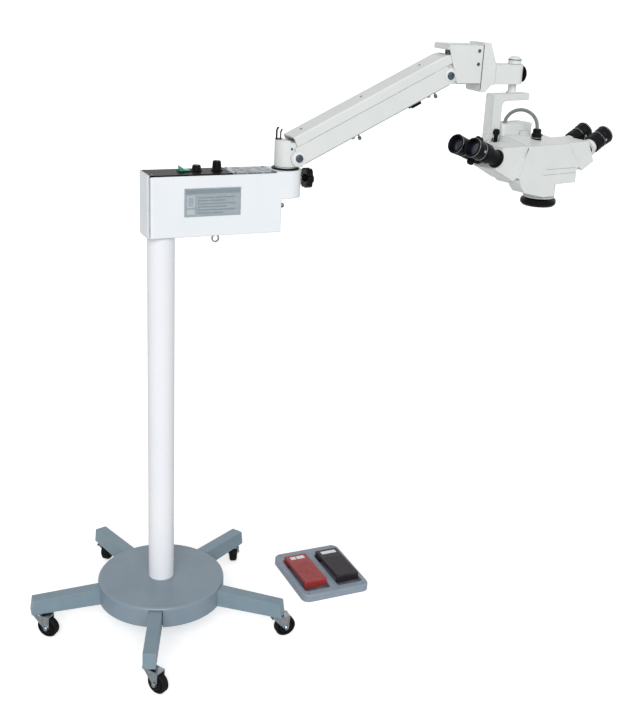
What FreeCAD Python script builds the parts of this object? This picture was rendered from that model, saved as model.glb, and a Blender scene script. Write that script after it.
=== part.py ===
import FreeCAD, Part
import Sketcher
import math
import os
from FreeCAD import Placement, Rotation, Vector

# Surgical microscope on a five-legged castor stand, in millimetres and degrees.
# Frame: floor at z = 0, the control box and the balance arm point along +X at rest,
# and the column stands at (column_x, column_y). The head hangs turned by yoke_turn.

doc = FreeCAD.newDocument("surgical_microscope")

SIZES = (
    # Stand
    ("column_x", -415.4),
    ("column_y", -3.8),
    ("column_radius", 30.0),
    ("column_wall", 4.0),
    ("column_top", 1070.0),
    ("drum_radius", 150.0),
    ("drum_top", 109.0),
    ("drum_height", 50.0),
    ("drum_wall", 3.0),
    ("drum_edge", 7.0),
    ("hub_radius", 140.0),
    ("hub_floor", 5.0),
    ("leg_width", 29.0),
    ("leg_reach", 309.0),
    ("leg_underside", 60.0),
    ("leg_root_top", 102.0),
    ("leg_tip_top", 96.0),
    ("leg_end_slant", 5.0),
    ("notch_clearance", 1.5),
    ("stand_turn", -112.0),
    # Castors
    ("caster_inset", 18.0),
    ("wheel_radius", 25.0),
    ("wheel_width", 18.0),
    ("tyre_edge", 3.0),
    ("wheel_hub", 9.0),
    ("axle_radius", 4.0),
    ("caster_trail", 24.0),
    ("stem_radius", 7.0),
    ("stem_length", 27.0),
    ("race_radius", 12.5),
    ("crown_gap", 3.0),
    ("crown_thickness", 3.0),
    ("cheek_thickness", 2.5),
    ("cheek_gap", 0.8),
    # Control box
    ("box_bottom", 948.0),
    ("box_top", 1082.5),
    ("box_back", 38.0),
    ("box_front", 264.6),
    ("box_half_depth", 35.3),
    ("box_wall", 3.0),
    ("box_corner", 12.0),
    ("tongue_bottom", 1022.0),
    ("panel_thickness", 3.0),
    ("panel_end", 150.0),
    ("panel_start", -34.0),
    ("lid_end", 251.0),
    ("sleeve_radius", 33.0),
    ("sleeve_cap", 5.0),
    ("rocker_x", 52.0),
    ("rocker_y", 3.0),
    ("rocker_length", 24.0),
    ("rocker_width", 14.0),
    ("rocker_height", 11.0),
    ("rocker_pivot", 4.5),
    ("bezel", 2.0),
    ("dimmer_x", 80.0),
    ("selector_x", 126.0),
    ("knob_y", 3.0),
    ("knob_radius", 9.5),
    ("dimmer_height", 13.0),
    ("selector_height", 21.0),
    ("clamp_below", 22.5),
    ("clamp_radius", 22.5),
    ("clamp_thickness", 15.0),
    ("clamp_neck", 11.0),
    ("clamp_screw", 5.0),
    ("clamp_lobes", 6.0),
    ("loop_x", 124.0),
    ("loop_drop", 4.0),
    ("loop_radius", 7.5),
    ("loop_wire", 1.6),
    # Turret
    ("turret_x", 286.0),
    ("turret_radius", 24.0),
    ("turret_shaft", 15.0),
    ("turret_shaft_length", 50.0),
    ("turret_flange", 6.0),
    ("turret_gap", 0.5),
    ("turret_height", 58.0),
    ("turret_half_width", 25.5),
    ("hook_height", 27.0),
    # Balance beam
    ("pivot_x", 305.0),
    ("pivot_height", 20.0),
    ("beam_length", 411.0),
    ("beam_rise", 25.8),
    ("beam_half_width", 30.0),
    ("beam_wall", 3.5),
    ("beam_below", 18.5),
    ("beam_seam", 24.0),
    ("beam_above", 47.0),
    ("beam_start", 7.0),
    ("clip_low", 140.0),
    ("clip_high", 350.0),
    ("clip_length", 14.0),
    ("lock_start", 294.0),
    ("lock_length", 28.0),
    ("lock_half_width", 12.0),
    ("web_start", 30.0),
    ("cover_nose", 46.0),
    ("pin_radius", 6.0),
    ("rod_offset", 24.0),
    ("rod_half_width", 6.0),
    ("rod_pin", 4.0),
    ("spring_start", 92.0),
    ("spring_length", 226.0),
    ("spring_radius", 13.5),
    ("spring_height", 0.0),
    ("spring_block", 13.0),
    # Head bracket and swivel
    ("bracket_length", 82.0),
    ("bracket_top", 69.0),
    ("bracket_lip", 13.0),
    ("hood_thickness", 12.0),
    ("nose_clearance", 2.0),
    ("spindle_x", 868.0),
    ("spindle_radius", 9.75),
    ("swivel_below", 19.9),
    ("swivel_height", 45.0),
    ("swivel_half_width", 21.0),
    ("rib_rise", 48.0),
    ("rib_drop", 17.0),
    ("cap_radius", 15.5),
    ("cap_height", 18.0),
    ("brake_radius", 19.0),
    ("brake_thickness", 3.5),
    ("brake_hub", 9.0),
    ("brake_screw", 5.0),
    # Yoke
    ("yoke_turn", 12.0),
    ("yoke_gap", 22.0),
    ("yoke_thickness", 16.5),
    ("yoke_half_depth", 13.0),
    ("yoke_left", 71.0),
    ("yoke_right", 49.0),
    ("yoke_arm_width", 30.0),
    ("yoke_corner", 12.0),
    ("tilt_below", 103.0),
    ("tilt_shaft", 8.0),
    ("tilt_boss", 14.0),
    ("lever_drop", 15.0),
    ("lever_length", 32.0),
    # Focus unit
    ("focus_left", 37.0),
    ("focus_right", 66.0),
    ("focus_front", 20.0),
    ("focus_back", 28.0),
    ("focus_below", 33.0),
    ("focus_above", 33.0),
    ("focus_wall", 3.0),
    ("focus_corner", 7.0),
    ("rail_x", 30.0),
    ("rail_half_width", 14.0),
    ("rail_half_neck", 9.0),
    ("rail_neck", 6.0),
    ("rail_depth", 7.0),
    ("rail_below", 59.0),
    ("rail_above", 17.0),
    # Microscope body
    ("scope_y", -71.0),
    ("scope_front", -118.0),
    ("slide_gap", 1.0),
    ("scope_drop", 4.0),
    ("crown_rise", 11.0),
    ("waist_drop", 59.0),
    ("scope_height", 96.0),
    ("scope_left", 47.0),
    ("scope_left_low", 72.0),
    ("prism_foot", 23.0),
    ("scope_right", 90.0),
    ("scope_right_low", 141.0),
    ("scope_foot", 131.0),
    ("scope_wall", 5.0),
    ("optic_x", 58.0),
    ("collar_radius", 37.5),
    ("collar_height", 38.0),
    ("flare_height", 29.0),
    ("flare_depth", 38.0),
    ("objective_radius", 42.8),
    ("objective_bore", 31.0),
    ("objective_height", 20.0),
    ("objective_edge", 5.0),
    ("lens_thickness", 9.0),
    ("plug_x", 26.0),
    ("plug_radius", 12.0),
    ("plug_height", 24.0),
    ("plug_sink", 4.0),
    ("guide_radius", 4.2),
    ("guide_seat", 12.0),
    ("guide_end_x", -12.0),
    ("guide_end_y", 2.0),
    # Viewing tubes
    ("flange_drop", 26.0),
    ("main_rise", 21.0),
    ("main_flange_x", -135.5),
    ("main_shift", -4.0),
    ("main_spacing", 54.0),
    ("main_half_depth", 35.0),
    ("main_up", 28.0),
    ("main_down", 25.0),
    ("prism_lip", 8.0),
    ("prism_lift", 15.0),
    ("side_rise", 27.0),
    ("side_flange_x", 182.5),
    ("side_flange_lift", 7.0),
    ("side_spacing", 64.0),
    ("side_shift", 3.0),
    ("side_up", 22.0),
    ("side_down", 35.0),
    ("knee_run", 38.0),
    ("knee_drop", 20.0),
    ("side_half_depth", 40.0),
    ("tube_flange", 21.0),
    ("tube_flange_thickness", 4.0),
    ("tube_radius", 17.5),
    ("main_tube_length", 32.0),
    ("side_tube_length", 14.0),
    ("eyepiece_radius", 22.5),
    ("eyepiece_neck", 14.0),
    ("eyepiece_length", 57.0),
    ("eyecup_bore", 15.0),
    ("ipd_knob_radius", 8.5),
    ("ipd_stem", 41.0),
    ("ipd_knob_length", 14.0),
    ("ipd_lift", 25.0),
    # Foot switch
    ("tray_x", 440.0),
    ("tray_y", 20.0),
    ("tray_turn", -1.0),
    ("tray_length", 184.0),
    ("tray_depth", 216.0),
    ("tray_height", 20.0),
    ("tray_floor", 4.0),
    ("tray_rim", 20.0),
    ("tray_corner", 20.0),
    ("tray_edge", 4.0),
    ("bay_corner", 7.0),
    ("red_x", -45.0),
    ("black_x", 45.0),
    ("pedal_width", 60.0),
    ("pedal_gap", 5.0),
    ("pedal_length", 140.0),
    ("pedal_heel", 10.0),
    ("pedal_high", 37.0),
    ("pedal_low", 33.0),
    ("pedal_front", 16.0),
    ("pedal_shell", 7.0),
    ("pedal_edge", 2.0),
    ("hinge_z", 14.0),
    ("hinge_inset", 49.0),
    ("hinge_radius", 3.5),
    # Fits
    ("running_fit", 0.05),
    ("side_play", 0.3),
    ("cord_play", 4.0),
)

sheet = doc.addObject("Spreadsheet::Sheet", "Sizes")
for row, (alias, value) in enumerate(SIZES, start=1):
    sheet.set("A%d" % row, alias)
    sheet.set("B%d" % row, repr(value))
    sheet.setAlias("B%d" % row, alias)
doc.recompute()


class Size:
    """A length or angle that knows its number and the sheet expression behind it."""

    def __init__(self, value, text):
        self.value = float(value)
        self.text = text

    def __add__(self, other):
        other = as_size(other)
        return Size(self.value + other.value, "(%s + %s)" % (self.text, other.text))

    def __sub__(self, other):
        other = as_size(other)
        return Size(self.value - other.value, "(%s - %s)" % (self.text, other.text))

    def __mul__(self, other):
        other = as_size(other)
        return Size(self.value * other.value, "(%s * %s)" % (self.text, other.text))

    def __truediv__(self, other):
        other = as_size(other)
        return Size(self.value / other.value, "(%s / %s)" % (self.text, other.text))

    def __neg__(self):
        return Size(-self.value, "(0 - %s)" % self.text)

    __radd__ = __add__
    __rmul__ = __mul__


def as_size(number):
    """The same number as a Size."""
    if isinstance(number, Size):
        return number
    return Size(number, "(%.9f)" % number)


class Sheet:
    """Gives every alias of the sheet as a Size."""

    def __getattr__(self, alias):
        return Size(sheet.get(alias), "Sizes." + alias)


S = Sheet()


def sine(angle):
    return math.sin(math.radians(angle.value))


def cosine(angle):
    return math.cos(math.radians(angle.value))


class Disc:
    """A full circle in a sketch."""

    def __init__(self, x, y, radius):
        self.x = as_size(x)
        self.y = as_size(y)
        self.radius = as_size(radius)


def rectangle(left, low, right, high):
    """The corners of an upright rectangle."""
    return [(left, low), (right, low), (right, high), (left, high)]


def bind(owner, path, size):
    """Ties one property to the sheet."""
    owner.setExpression(path, as_size(size).text)


PLANES = {"XY": "XY_Plane", "XZ": "XZ_Plane", "YZ": "YZ_Plane"}
PIECES = []


class Piece:
    """One solid piece of the microscope, built as a body and written as one node."""

    def __init__(self, node):
        self.node = node
        self.body = doc.addObject("PartDesign::Body", node)
        self.body.Label = node
        self.count = 0
        PIECES.append(self.body)

    def origin(self, role):
        """One plane or axis of the body's own origin."""
        return [f for f in self.body.Origin.OriginFeatures if f.Role == role][0]

    def name(self, kind):
        self.count += 1
        return "%s_%s_%d" % (self.node, kind, self.count)

    def settle(self, feature):
        """Makes a feature the body's tip and stops where it fails."""
        self.body.Tip = feature
        doc.recompute()
        if not feature.isValid():
            raise ValueError("%s fails" % feature.Name)
        return feature

    def sketch(self, plane, level, loops):
        """A fully dimensioned sketch of discs and polygons, level mm along its normal."""
        sketch = self.body.newObject("Sketcher::SketchObject", self.name("sketch"))
        sketch.AttachmentSupport = [(self.origin(PLANES[plane]), "")]
        sketch.MapMode = "FlatFace"
        sketch.AttachmentOffset = Placement(Vector(0, 0, level.value), Rotation())
        bind(sketch, "AttachmentOffset.Base.z", level)
        for loop in loops:
            if isinstance(loop, Disc):
                self.draw_disc(sketch, loop)
            else:
                self.draw_polygon(sketch, loop)
        return sketch

    def draw_disc(self, sketch, disc):
        centre = Vector(disc.x.value, disc.y.value, 0)
        circle = Part.Circle(centre, Vector(0, 0, 1), disc.radius.value)
        index = sketch.addGeometry(circle, False)
        self.hold_point(sketch, index, 3, disc.x, disc.y)
        made = sketch.addConstraint(Sketcher.Constraint("Radius", index, disc.radius.value))
        bind(sketch, "Constraints[%d]" % made, disc.radius)

    def draw_polygon(self, sketch, corners):
        corners = [(as_size(x), as_size(y)) for x, y in corners]
        first = sketch.GeometryCount
        total = len(corners)
        for index, (x, y) in enumerate(corners):
            end_x, end_y = corners[(index + 1) % total]
            start = Vector(x.value, y.value, 0)
            end = Vector(end_x.value, end_y.value, 0)
            sketch.addGeometry(Part.LineSegment(start, end), False)
        for index in range(total):
            following = first + (index + 1) % total
            joint = Sketcher.Constraint("Coincident", first + index, 2, following, 1)
            sketch.addConstraint(joint)
        for index, (x, y) in enumerate(corners):
            self.hold_point(sketch, first + index, 1, x, y)

    def hold_point(self, sketch, index, end, x, y):
        """Dimensions a point from the sketch's origin."""
        for kind, size in (("DistanceX", x), ("DistanceY", y)):
            rule = Sketcher.Constraint(kind, -1, 1, index, end, size.value)
            made = sketch.addConstraint(rule)
            bind(sketch, "Constraints[%d]" % made, size)

    def pad(self, loops, low, high, plane="XY"):
        """Adds material between two levels of the plane's axis."""
        low, high = as_size(low), as_size(high)
        level = -high if plane == "XZ" else low
        feature = self.body.newObject("PartDesign::Pad", self.name("pad"))
        feature.Profile = self.sketch(plane, level, loops)
        feature.Length = (high - low).value
        bind(feature, "Length", high - low)
        return self.settle(feature)

    def pocket(self, loops, low, high, plane="XY"):
        """Removes material between two levels of the plane's axis."""
        low, high = as_size(low), as_size(high)
        before = self.body.Shape.Volume
        level = -low if plane == "XZ" else high
        feature = self.body.newObject("PartDesign::Pocket", self.name("pocket"))
        feature.Profile = self.sketch(plane, level, loops)
        feature.Length = (high - low).value
        bind(feature, "Length", high - low)
        self.settle(feature)
        if self.body.Shape.Volume > before - 1e-3:
            raise ValueError("%s cuts nothing" % feature.Name)
        return feature

    def turn(self, outline, kind="Revolution"):
        """Revolves a half profile of (radius, height) points about the body's Z axis."""
        sketch = self.sketch("XZ", as_size(0), [outline])
        feature = self.body.newObject("PartDesign::" + kind, self.name("turn"))
        feature.Profile = sketch
        feature.ReferenceAxis = (sketch, ["V_Axis"])
        feature.Angle = 360
        return self.settle(feature)

    def repeat(self, features, count):
        """Repeats features round the body's Z axis."""
        pattern = self.body.newObject("PartDesign::PolarPattern", self.name("ring"))
        pattern.Originals = features
        pattern.Axis = (self.origin("Z_Axis"), [""])
        pattern.Angle = 360
        pattern.Occurrences = count
        return self.settle(pattern)

    def ease(self, radius, chooser, kind="Fillet"):
        """Rounds or bevels the edges that the chooser picks."""
        doc.recompute()
        tip = self.body.Tip
        picked = []
        for number, edge in enumerate(tip.Shape.Edges, start=1):
            if chooser(edge):
                picked.append("Edge%d" % number)
        if not picked:
            raise ValueError("%s has no such edge" % self.node)
        feature = self.body.newObject("PartDesign::" + kind, self.name(kind.lower()))
        feature.Base = (tip, picked)
        path = "Radius" if kind == "Fillet" else "Size"
        setattr(feature, path, as_size(radius).value)
        bind(feature, path, radius)
        return self.settle(feature)

    def place(self, x=0.0, y=0.0, z=0.0, turn=None):
        """Puts the piece at its place in the frame."""
        x, y, z = as_size(x), as_size(y), as_size(z)
        turn = turn or Rotation()
        self.body.Placement = Placement(Vector(x.value, y.value, z.value), turn)
        bind(self.body, "Placement.Base.x", x)
        bind(self.body, "Placement.Base.y", y)
        bind(self.body, "Placement.Base.z", z)


def along(axis, where=None):
    """A chooser of straight edges along one axis, at the points that where accepts."""
    unit = {"X": Vector(1, 0, 0), "Y": Vector(0, 1, 0), "Z": Vector(0, 0, 1)}[axis]

    def chooser(edge):
        if not isinstance(edge.Curve, Part.Line):
            return False
        run = edge.Vertexes[-1].Point - edge.Vertexes[0].Point
        if abs(abs(run.normalize().dot(unit)) - 1) > 1e-6:
            return False
        return where is None or where(edge.CenterOfMass)

    return chooser


def circular(height, radius=None):
    """A chooser of full circles at one height of the body."""

    def chooser(edge):
        if not isinstance(edge.Curve, Part.Circle):
            return False
        if abs(edge.CenterOfMass.z - as_size(height).value) > 1e-4:
            return False
        return radius is None or abs(edge.Curve.Radius - as_size(radius).value) < 1e-4

    return chooser


def near(value, size, slack=0.05):
    return abs(value - as_size(size).value) < slack


ABOUT_Z = Vector(0, 0, 1)
ABOUT_Y = Vector(0, 1, 0)
ABOUT_X = Vector(1, 0, 0)


def on_column(piece, x=0.0, y=0.0, z=0.0, turn=None):
    """Places a piece by its offset from the column's axis."""
    piece.place(S.column_x + x, S.column_y + y, z, turn)


def on_beam(piece):
    """Places a piece drawn along the balance beam, from its lower pivot."""
    on_column(piece, S.pivot_x, 0, PIVOT_Z, Rotation(ABOUT_Y, -S.beam_rise.value))


HEAD_TURN = Rotation(ABOUT_Z, S.yoke_turn.value)


def on_head(piece, x=0.0, y=0.0, z=0.0, turn=None):
    """Places a piece by its offset from the spindle, in the turned frame of the head."""
    x, y = as_size(x), as_size(y)
    east = x * cosine(S.yoke_turn) - y * sine(S.yoke_turn)
    north = x * sine(S.yoke_turn) + y * cosine(S.yoke_turn)
    whole = HEAD_TURN.multiply(turn) if turn else HEAD_TURN
    on_column(piece, S.spindle_x + east, north, z, whole)


# Levels that follow from the sizes above, from the turret up the beam and down the head
TURRET_FLOOR = S.box_top + S.turret_gap + S.turret_flange
TURRET_TOP = TURRET_FLOOR + S.turret_height
PIVOT_Z = TURRET_FLOOR + S.pivot_height
UPPER_X = S.pivot_x + S.beam_length * cosine(S.beam_rise)
UPPER_Z = PIVOT_Z + S.beam_length * sine(S.beam_rise)
SWIVEL_BOTTOM = UPPER_Z - S.swivel_below
SWIVEL_TOP = SWIVEL_BOTTOM + S.swivel_height
RIB_TOP = SWIVEL_TOP + S.rib_rise
YOKE_TOP = SWIVEL_BOTTOM - S.yoke_gap
TILT_Z = YOKE_TOP - S.tilt_below
FOCUS_BOTTOM = TILT_Z - S.focus_below
FOCUS_TOP = TILT_Z + S.focus_above
RAIL_BOTTOM = TILT_Z - S.rail_below
RAIL_TOP = TILT_Z + S.rail_above
SCOPE_TOP = TILT_Z - S.scope_drop
SCOPE_CROWN = SCOPE_TOP + S.crown_rise
SCOPE_WAIST = SCOPE_TOP - S.waist_drop
SCOPE_BOTTOM = SCOPE_TOP - S.scope_height
COLLAR_BOTTOM = SCOPE_BOTTOM - S.collar_height
CASTER_RADIUS = S.leg_reach - S.caster_inset
CLAMP_Z = S.box_top - S.clamp_below
TURN_STAND = Rotation(ABOUT_Z, S.stand_turn.value)
LEG_COUNT = 5


# Stand: spider of five legs, drum cover and column
def make_base_spider():
    spider = Piece("base_spider")
    hub_top = S.drum_top - S.drum_wall
    bore = S.column_radius + S.running_fit
    spider.pad([Disc(0, 0, S.hub_radius)], S.leg_underside - 2, hub_top)
    half = S.leg_width / 2
    side_view = [
        (S.column_radius + 4, S.leg_underside),
        (S.leg_reach, S.leg_underside),
        (S.leg_reach - S.leg_end_slant, S.leg_tip_top),
        (S.drum_radius, S.leg_root_top),
        (S.column_radius + 4, S.leg_root_top),
    ]
    leg = spider.pad([side_view], -half, half, "XZ")
    socket_top = S.leg_underside + S.stem_length + 1
    socket = spider.pocket(
        [Disc(CASTER_RADIUS, 0, S.stem_radius + S.running_fit)],
        S.leg_underside,
        socket_top,
    )
    spider.repeat([leg, socket], LEG_COUNT)
    spider.pocket([Disc(0, 0, bore)], S.leg_underside + S.hub_floor, hub_top)
    on_column(spider, turn=TURN_STAND)


def make_drum_cover():
    drum = Piece("drum_cover")
    inner = S.drum_radius - S.drum_wall
    under = S.drum_top - S.drum_wall
    hole = S.column_radius + S.side_play
    skirt = S.drum_top - S.drum_height
    outline = [
        (hole, under),
        (inner, under),
        (inner, skirt),
        (S.drum_radius, skirt),
        (S.drum_radius, S.drum_top),
        (hole, S.drum_top),
    ]
    drum.turn(outline)
    drum.ease(S.drum_edge, circular(S.drum_top, S.drum_radius))
    half = S.leg_width / 2 + S.notch_clearance
    notch = rectangle(inner - 4, -half, S.drum_radius + 4, half)
    top = S.leg_root_top + S.notch_clearance
    cut = drum.pocket([notch], skirt - 1, top)
    drum.repeat([cut], LEG_COUNT)
    on_column(drum, turn=TURN_STAND)


def make_column():
    column = Piece("column_tube")
    foot = S.leg_underside + S.hub_floor
    bore = S.column_radius - S.column_wall
    column.pad([Disc(0, 0, S.column_radius), Disc(0, 0, bore)], foot, S.column_top)
    on_column(column)


# Castors: a chrome fork that swivels in each leg and a wheel that rolls in it
CASTER_HEADINGS = (-60.0, -2.0, 74.0, 48.0, -42.0)


def make_fork(node, x, y, heading):
    fork = Piece(node)
    crown_low = S.wheel_radius * 2 + S.crown_gap
    crown_top = crown_low + S.crown_thickness
    inside = S.wheel_width / 2 + S.cheek_gap
    outside = inside + S.cheek_thickness
    trail = S.caster_trail
    crown = rectangle(-trail - 9, -outside, S.race_radius, outside)
    fork.pad([crown], crown_low, crown_top)
    cheek = [
        (-trail - 9, crown_low),
        (-trail - 7, S.wheel_radius),
        (-trail, S.wheel_radius - 8),
        (-trail + 7, S.wheel_radius),
        (S.race_radius - 4, crown_low),
    ]
    fork.pad([cheek], inside, outside, "XZ")
    fork.pad([cheek], -outside, -inside, "XZ")
    axle = Disc(-trail, S.wheel_radius, S.axle_radius)
    fork.pad([axle], -outside - 1.5, outside + 1.5, "XZ")
    race_top = S.leg_underside - S.side_play
    fork.pad([Disc(0, 0, S.race_radius)], crown_top, race_top)
    fork.pad([Disc(0, 0, S.stem_radius)], race_top, S.leg_underside + S.stem_length)
    on_column(fork, x, y, 0, Rotation(ABOUT_Z, heading - 180))


def make_wheel(node, x, y, heading):
    wheel = Piece(node)
    half = S.wheel_width / 2
    bore = S.axle_radius + S.running_fit
    disc_half = half - 4
    rim = S.wheel_radius - 6
    outline = [
        (bore, -half),
        (S.wheel_hub, -half),
        (S.wheel_hub, -disc_half),
        (rim, -disc_half),
        (rim, -half),
        (S.wheel_radius - S.tyre_edge, -half),
        (S.wheel_radius, -half + S.tyre_edge),
        (S.wheel_radius, half - S.tyre_edge),
        (S.wheel_radius - S.tyre_edge, half),
        (rim, half),
        (rim, disc_half),
        (S.wheel_hub, disc_half),
        (S.wheel_hub, half),
        (bore, half),
    ]
    wheel.turn(outline)
    heading_angle = math.radians(heading)
    wheel_x = x + S.caster_trail * math.cos(heading_angle)
    wheel_y = y + S.caster_trail * math.sin(heading_angle)
    roll = Rotation(ABOUT_Z, heading).multiply(Rotation(ABOUT_X, 90))
    on_column(wheel, wheel_x, wheel_y, S.wheel_radius, roll)


def make_casters():
    for number in range(LEG_COUNT):
        angle = math.radians(S.stand_turn.value + number * 360.0 / LEG_COUNT)
        x = CASTER_RADIUS * math.cos(angle)
        y = CASTER_RADIUS * math.sin(angle)
        heading = CASTER_HEADINGS[number]
        make_fork("caster_fork_%d" % (number + 1), x, y, heading)
        make_wheel("caster_wheel_%d" % (number + 1), x, y, heading)


# Control box that swivels on the column
def make_box_shell():
    box = Piece("box_shell")
    depth = S.box_half_depth
    lid_seat = S.box_top - S.panel_thickness
    main = rectangle(-S.box_back, -depth, S.box_front, depth)
    box.pad([main], S.box_bottom, lid_seat)
    tongue = rectangle(S.lid_end, -depth, S.turret_x, depth)
    box.pad([tongue], S.tongue_bottom, S.box_top)
    box.pad([Disc(S.turret_x, 0, depth)], S.tongue_bottom, S.box_top)
    rim = rectangle(-S.box_back, -depth, S.panel_start, depth)
    box.pad([rim], lid_seat, S.box_top)

    def back_corner(point):
        return near(point.x, -S.box_back)

    box.ease(S.box_corner, along("Z", back_corner))
    wall = S.box_wall
    inside = rectangle(-S.box_back + wall, -depth + wall, S.lid_end - wall, depth - wall)
    box.pocket([inside], S.box_bottom + wall, lid_seat)
    hole = S.sleeve_radius + S.running_fit
    box.pocket([Disc(0, 0, hole)], S.box_bottom, S.box_bottom + wall)
    shaft_bore = S.turret_shaft + S.running_fit
    shaft_foot = S.box_top - S.turret_shaft_length - 1
    box.pocket([Disc(S.turret_x, 0, shaft_bore)], shaft_foot, S.box_top)
    screw_bore = Disc(0, CLAMP_Z, S.clamp_screw + S.running_fit)
    nose = S.turret_x + depth
    box.pocket([screw_bore], S.turret_x + S.turret_shaft + 2, nose, "YZ")
    on_column(box)


def make_control_panel():
    panel = Piece("control_panel")
    depth = S.box_half_depth
    seat = S.box_top - S.panel_thickness
    panel.pad([rectangle(S.panel_start, -depth, S.panel_end, depth)], seat, S.box_top)
    frame_x = S.rocker_length / 2 + S.bezel
    frame_y = S.rocker_width / 2 + S.bezel
    frame = rectangle(
        S.rocker_x - frame_x,
        S.rocker_y - frame_y,
        S.rocker_x + frame_x,
        S.rocker_y + frame_y,
    )
    panel.pad([frame], S.box_top, S.box_top + S.bezel)
    open_x = S.rocker_length / 2 + S.side_play
    open_y = S.rocker_width / 2 + S.side_play
    opening = rectangle(
        S.rocker_x - open_x,
        S.rocker_y - open_y,
        S.rocker_x + open_x,
        S.rocker_y + open_y,
    )
    panel.pocket([opening], seat, S.box_top + S.bezel)
    spindle = S.axle_radius + S.running_fit
    holes = [Disc(S.dimmer_x, S.knob_y, spindle), Disc(S.selector_x, S.knob_y, spindle)]
    panel.pocket(holes, seat, S.box_top)
    on_column(panel)


def make_lid():
    lid = Piece("box_lid")
    depth = S.box_half_depth
    seat = S.box_top - S.panel_thickness
    lid.pad([rectangle(S.panel_end, -depth, S.lid_end, depth)], seat, S.box_top)
    on_column(lid)


def make_column_sleeve():
    sleeve = Piece("column_sleeve")
    bore = S.column_radius + S.running_fit
    flange_low = S.box_bottom + S.box_wall
    ceiling = S.column_top + S.side_play
    outer_top = ceiling + S.sleeve_cap
    outline = [
        (bore, S.box_bottom),
        (S.sleeve_radius, S.box_bottom),
        (S.sleeve_radius, flange_low),
        (S.box_half_depth - S.box_wall - S.side_play, flange_low),
        (S.box_half_depth - S.box_wall - S.side_play, outer_top),
        (0, outer_top),
        (0, ceiling),
        (bore, ceiling),
    ]
    sleeve.turn(outline)
    on_column(sleeve)


def make_lamp_module():
    lamp = Piece("lamp_module")
    floor = S.box_bottom + S.box_wall
    half = S.box_half_depth - S.box_wall - S.side_play
    lamp.pad([rectangle(S.selector_x + 24, -half, S.lid_end - 12, half)], floor, floor + 70)
    lamp.pocket([Disc(0, floor + 38, 16)], S.selector_x + 24, S.selector_x + 60, "YZ")
    on_column(lamp)


def make_cable_loop():
    loop = Piece("cable_loop")
    reach = S.loop_radius + S.loop_wire
    saddle_low = S.box_bottom - 3
    centre = saddle_low - S.loop_drop - S.loop_radius
    outer = Disc(S.loop_x, centre, reach)
    inner = Disc(S.loop_x, centre, S.loop_radius - S.loop_wire)
    loop.pad([outer, inner], -S.loop_wire, S.loop_wire, "XZ")
    loop.pad([Disc(S.loop_x, 0, S.loop_wire * 2)], centre + S.loop_radius, saddle_low)
    saddle = rectangle(S.loop_x - 9, -5, S.loop_x + 9, 5)
    loop.pad([saddle], saddle_low, S.box_bottom)
    on_column(loop)


# Controls on the box
ROCKER_AXIS = 0.5


def make_power_rocker():
    rocker = Piece("power_rocker")
    half_x = S.rocker_length / 2
    half_y = S.rocker_width / 2
    seat = S.box_top - S.panel_thickness
    top = S.box_top + S.bezel
    side_view = [
        (-half_x + 2, seat),
        (half_x - 2, seat),
        (half_x - 1, top),
        (half_x - 1, top + 1.5),
        (0, top + 3),
        (-half_x + 1, top + S.rocker_height),
        (-half_x + 1, top),
    ]
    rocker.pad([side_view], -half_y, half_y, "XZ")
    rocker.pad([Disc(0, S.box_top + ROCKER_AXIS, S.rocker_pivot)], -half_y, half_y, "XZ")
    on_column(rocker, S.rocker_x, S.rocker_y)


def make_panel_knob(node, x, height):
    knob = Piece(node)
    base = S.box_top + S.side_play
    skirt = S.knob_radius + 3
    waist = S.knob_radius - 1.5
    outline = [
        (0, S.box_top - S.panel_thickness - 6),
        (S.axle_radius, S.box_top - S.panel_thickness - 6),
        (S.axle_radius, base),
        (skirt, base),
        (skirt, base + 2),
        (S.knob_radius, base + 4),
        (waist, base + height),
        (0, base + height),
    ]
    knob.turn(outline)
    knob.ease(1, circular(base + height), "Chamfer")
    on_column(knob, x, S.knob_y)


def make_clamp_knob():
    knob = Piece("clamp_knob")
    nose = S.turret_x + S.box_half_depth
    hub_start = S.clamp_neck
    knob.pad([Disc(0, 0, S.clamp_screw)], -16, hub_start)
    knob.pad([Disc(0, 0, 9)], hub_start - 4, hub_start)
    knob.pad([Disc(0, 0, S.clamp_radius)], hub_start, hub_start + S.clamp_thickness)
    knob.pad([Disc(0, 0, 8)], hub_start + S.clamp_thickness, hub_start + S.clamp_thickness + 2)
    bite_radius = S.clamp_radius * 0.34
    bite_centre = S.clamp_radius + bite_radius * 0.55
    bite = knob.pocket([Disc(bite_centre, 0, bite_radius)], hub_start, hub_start + S.clamp_thickness)
    knob.repeat([bite], int(round(S.clamp_lobes.value)))
    lie = Rotation(ABOUT_Y, 90)
    on_column(knob, nose, 0, CLAMP_Z, lie)


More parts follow.
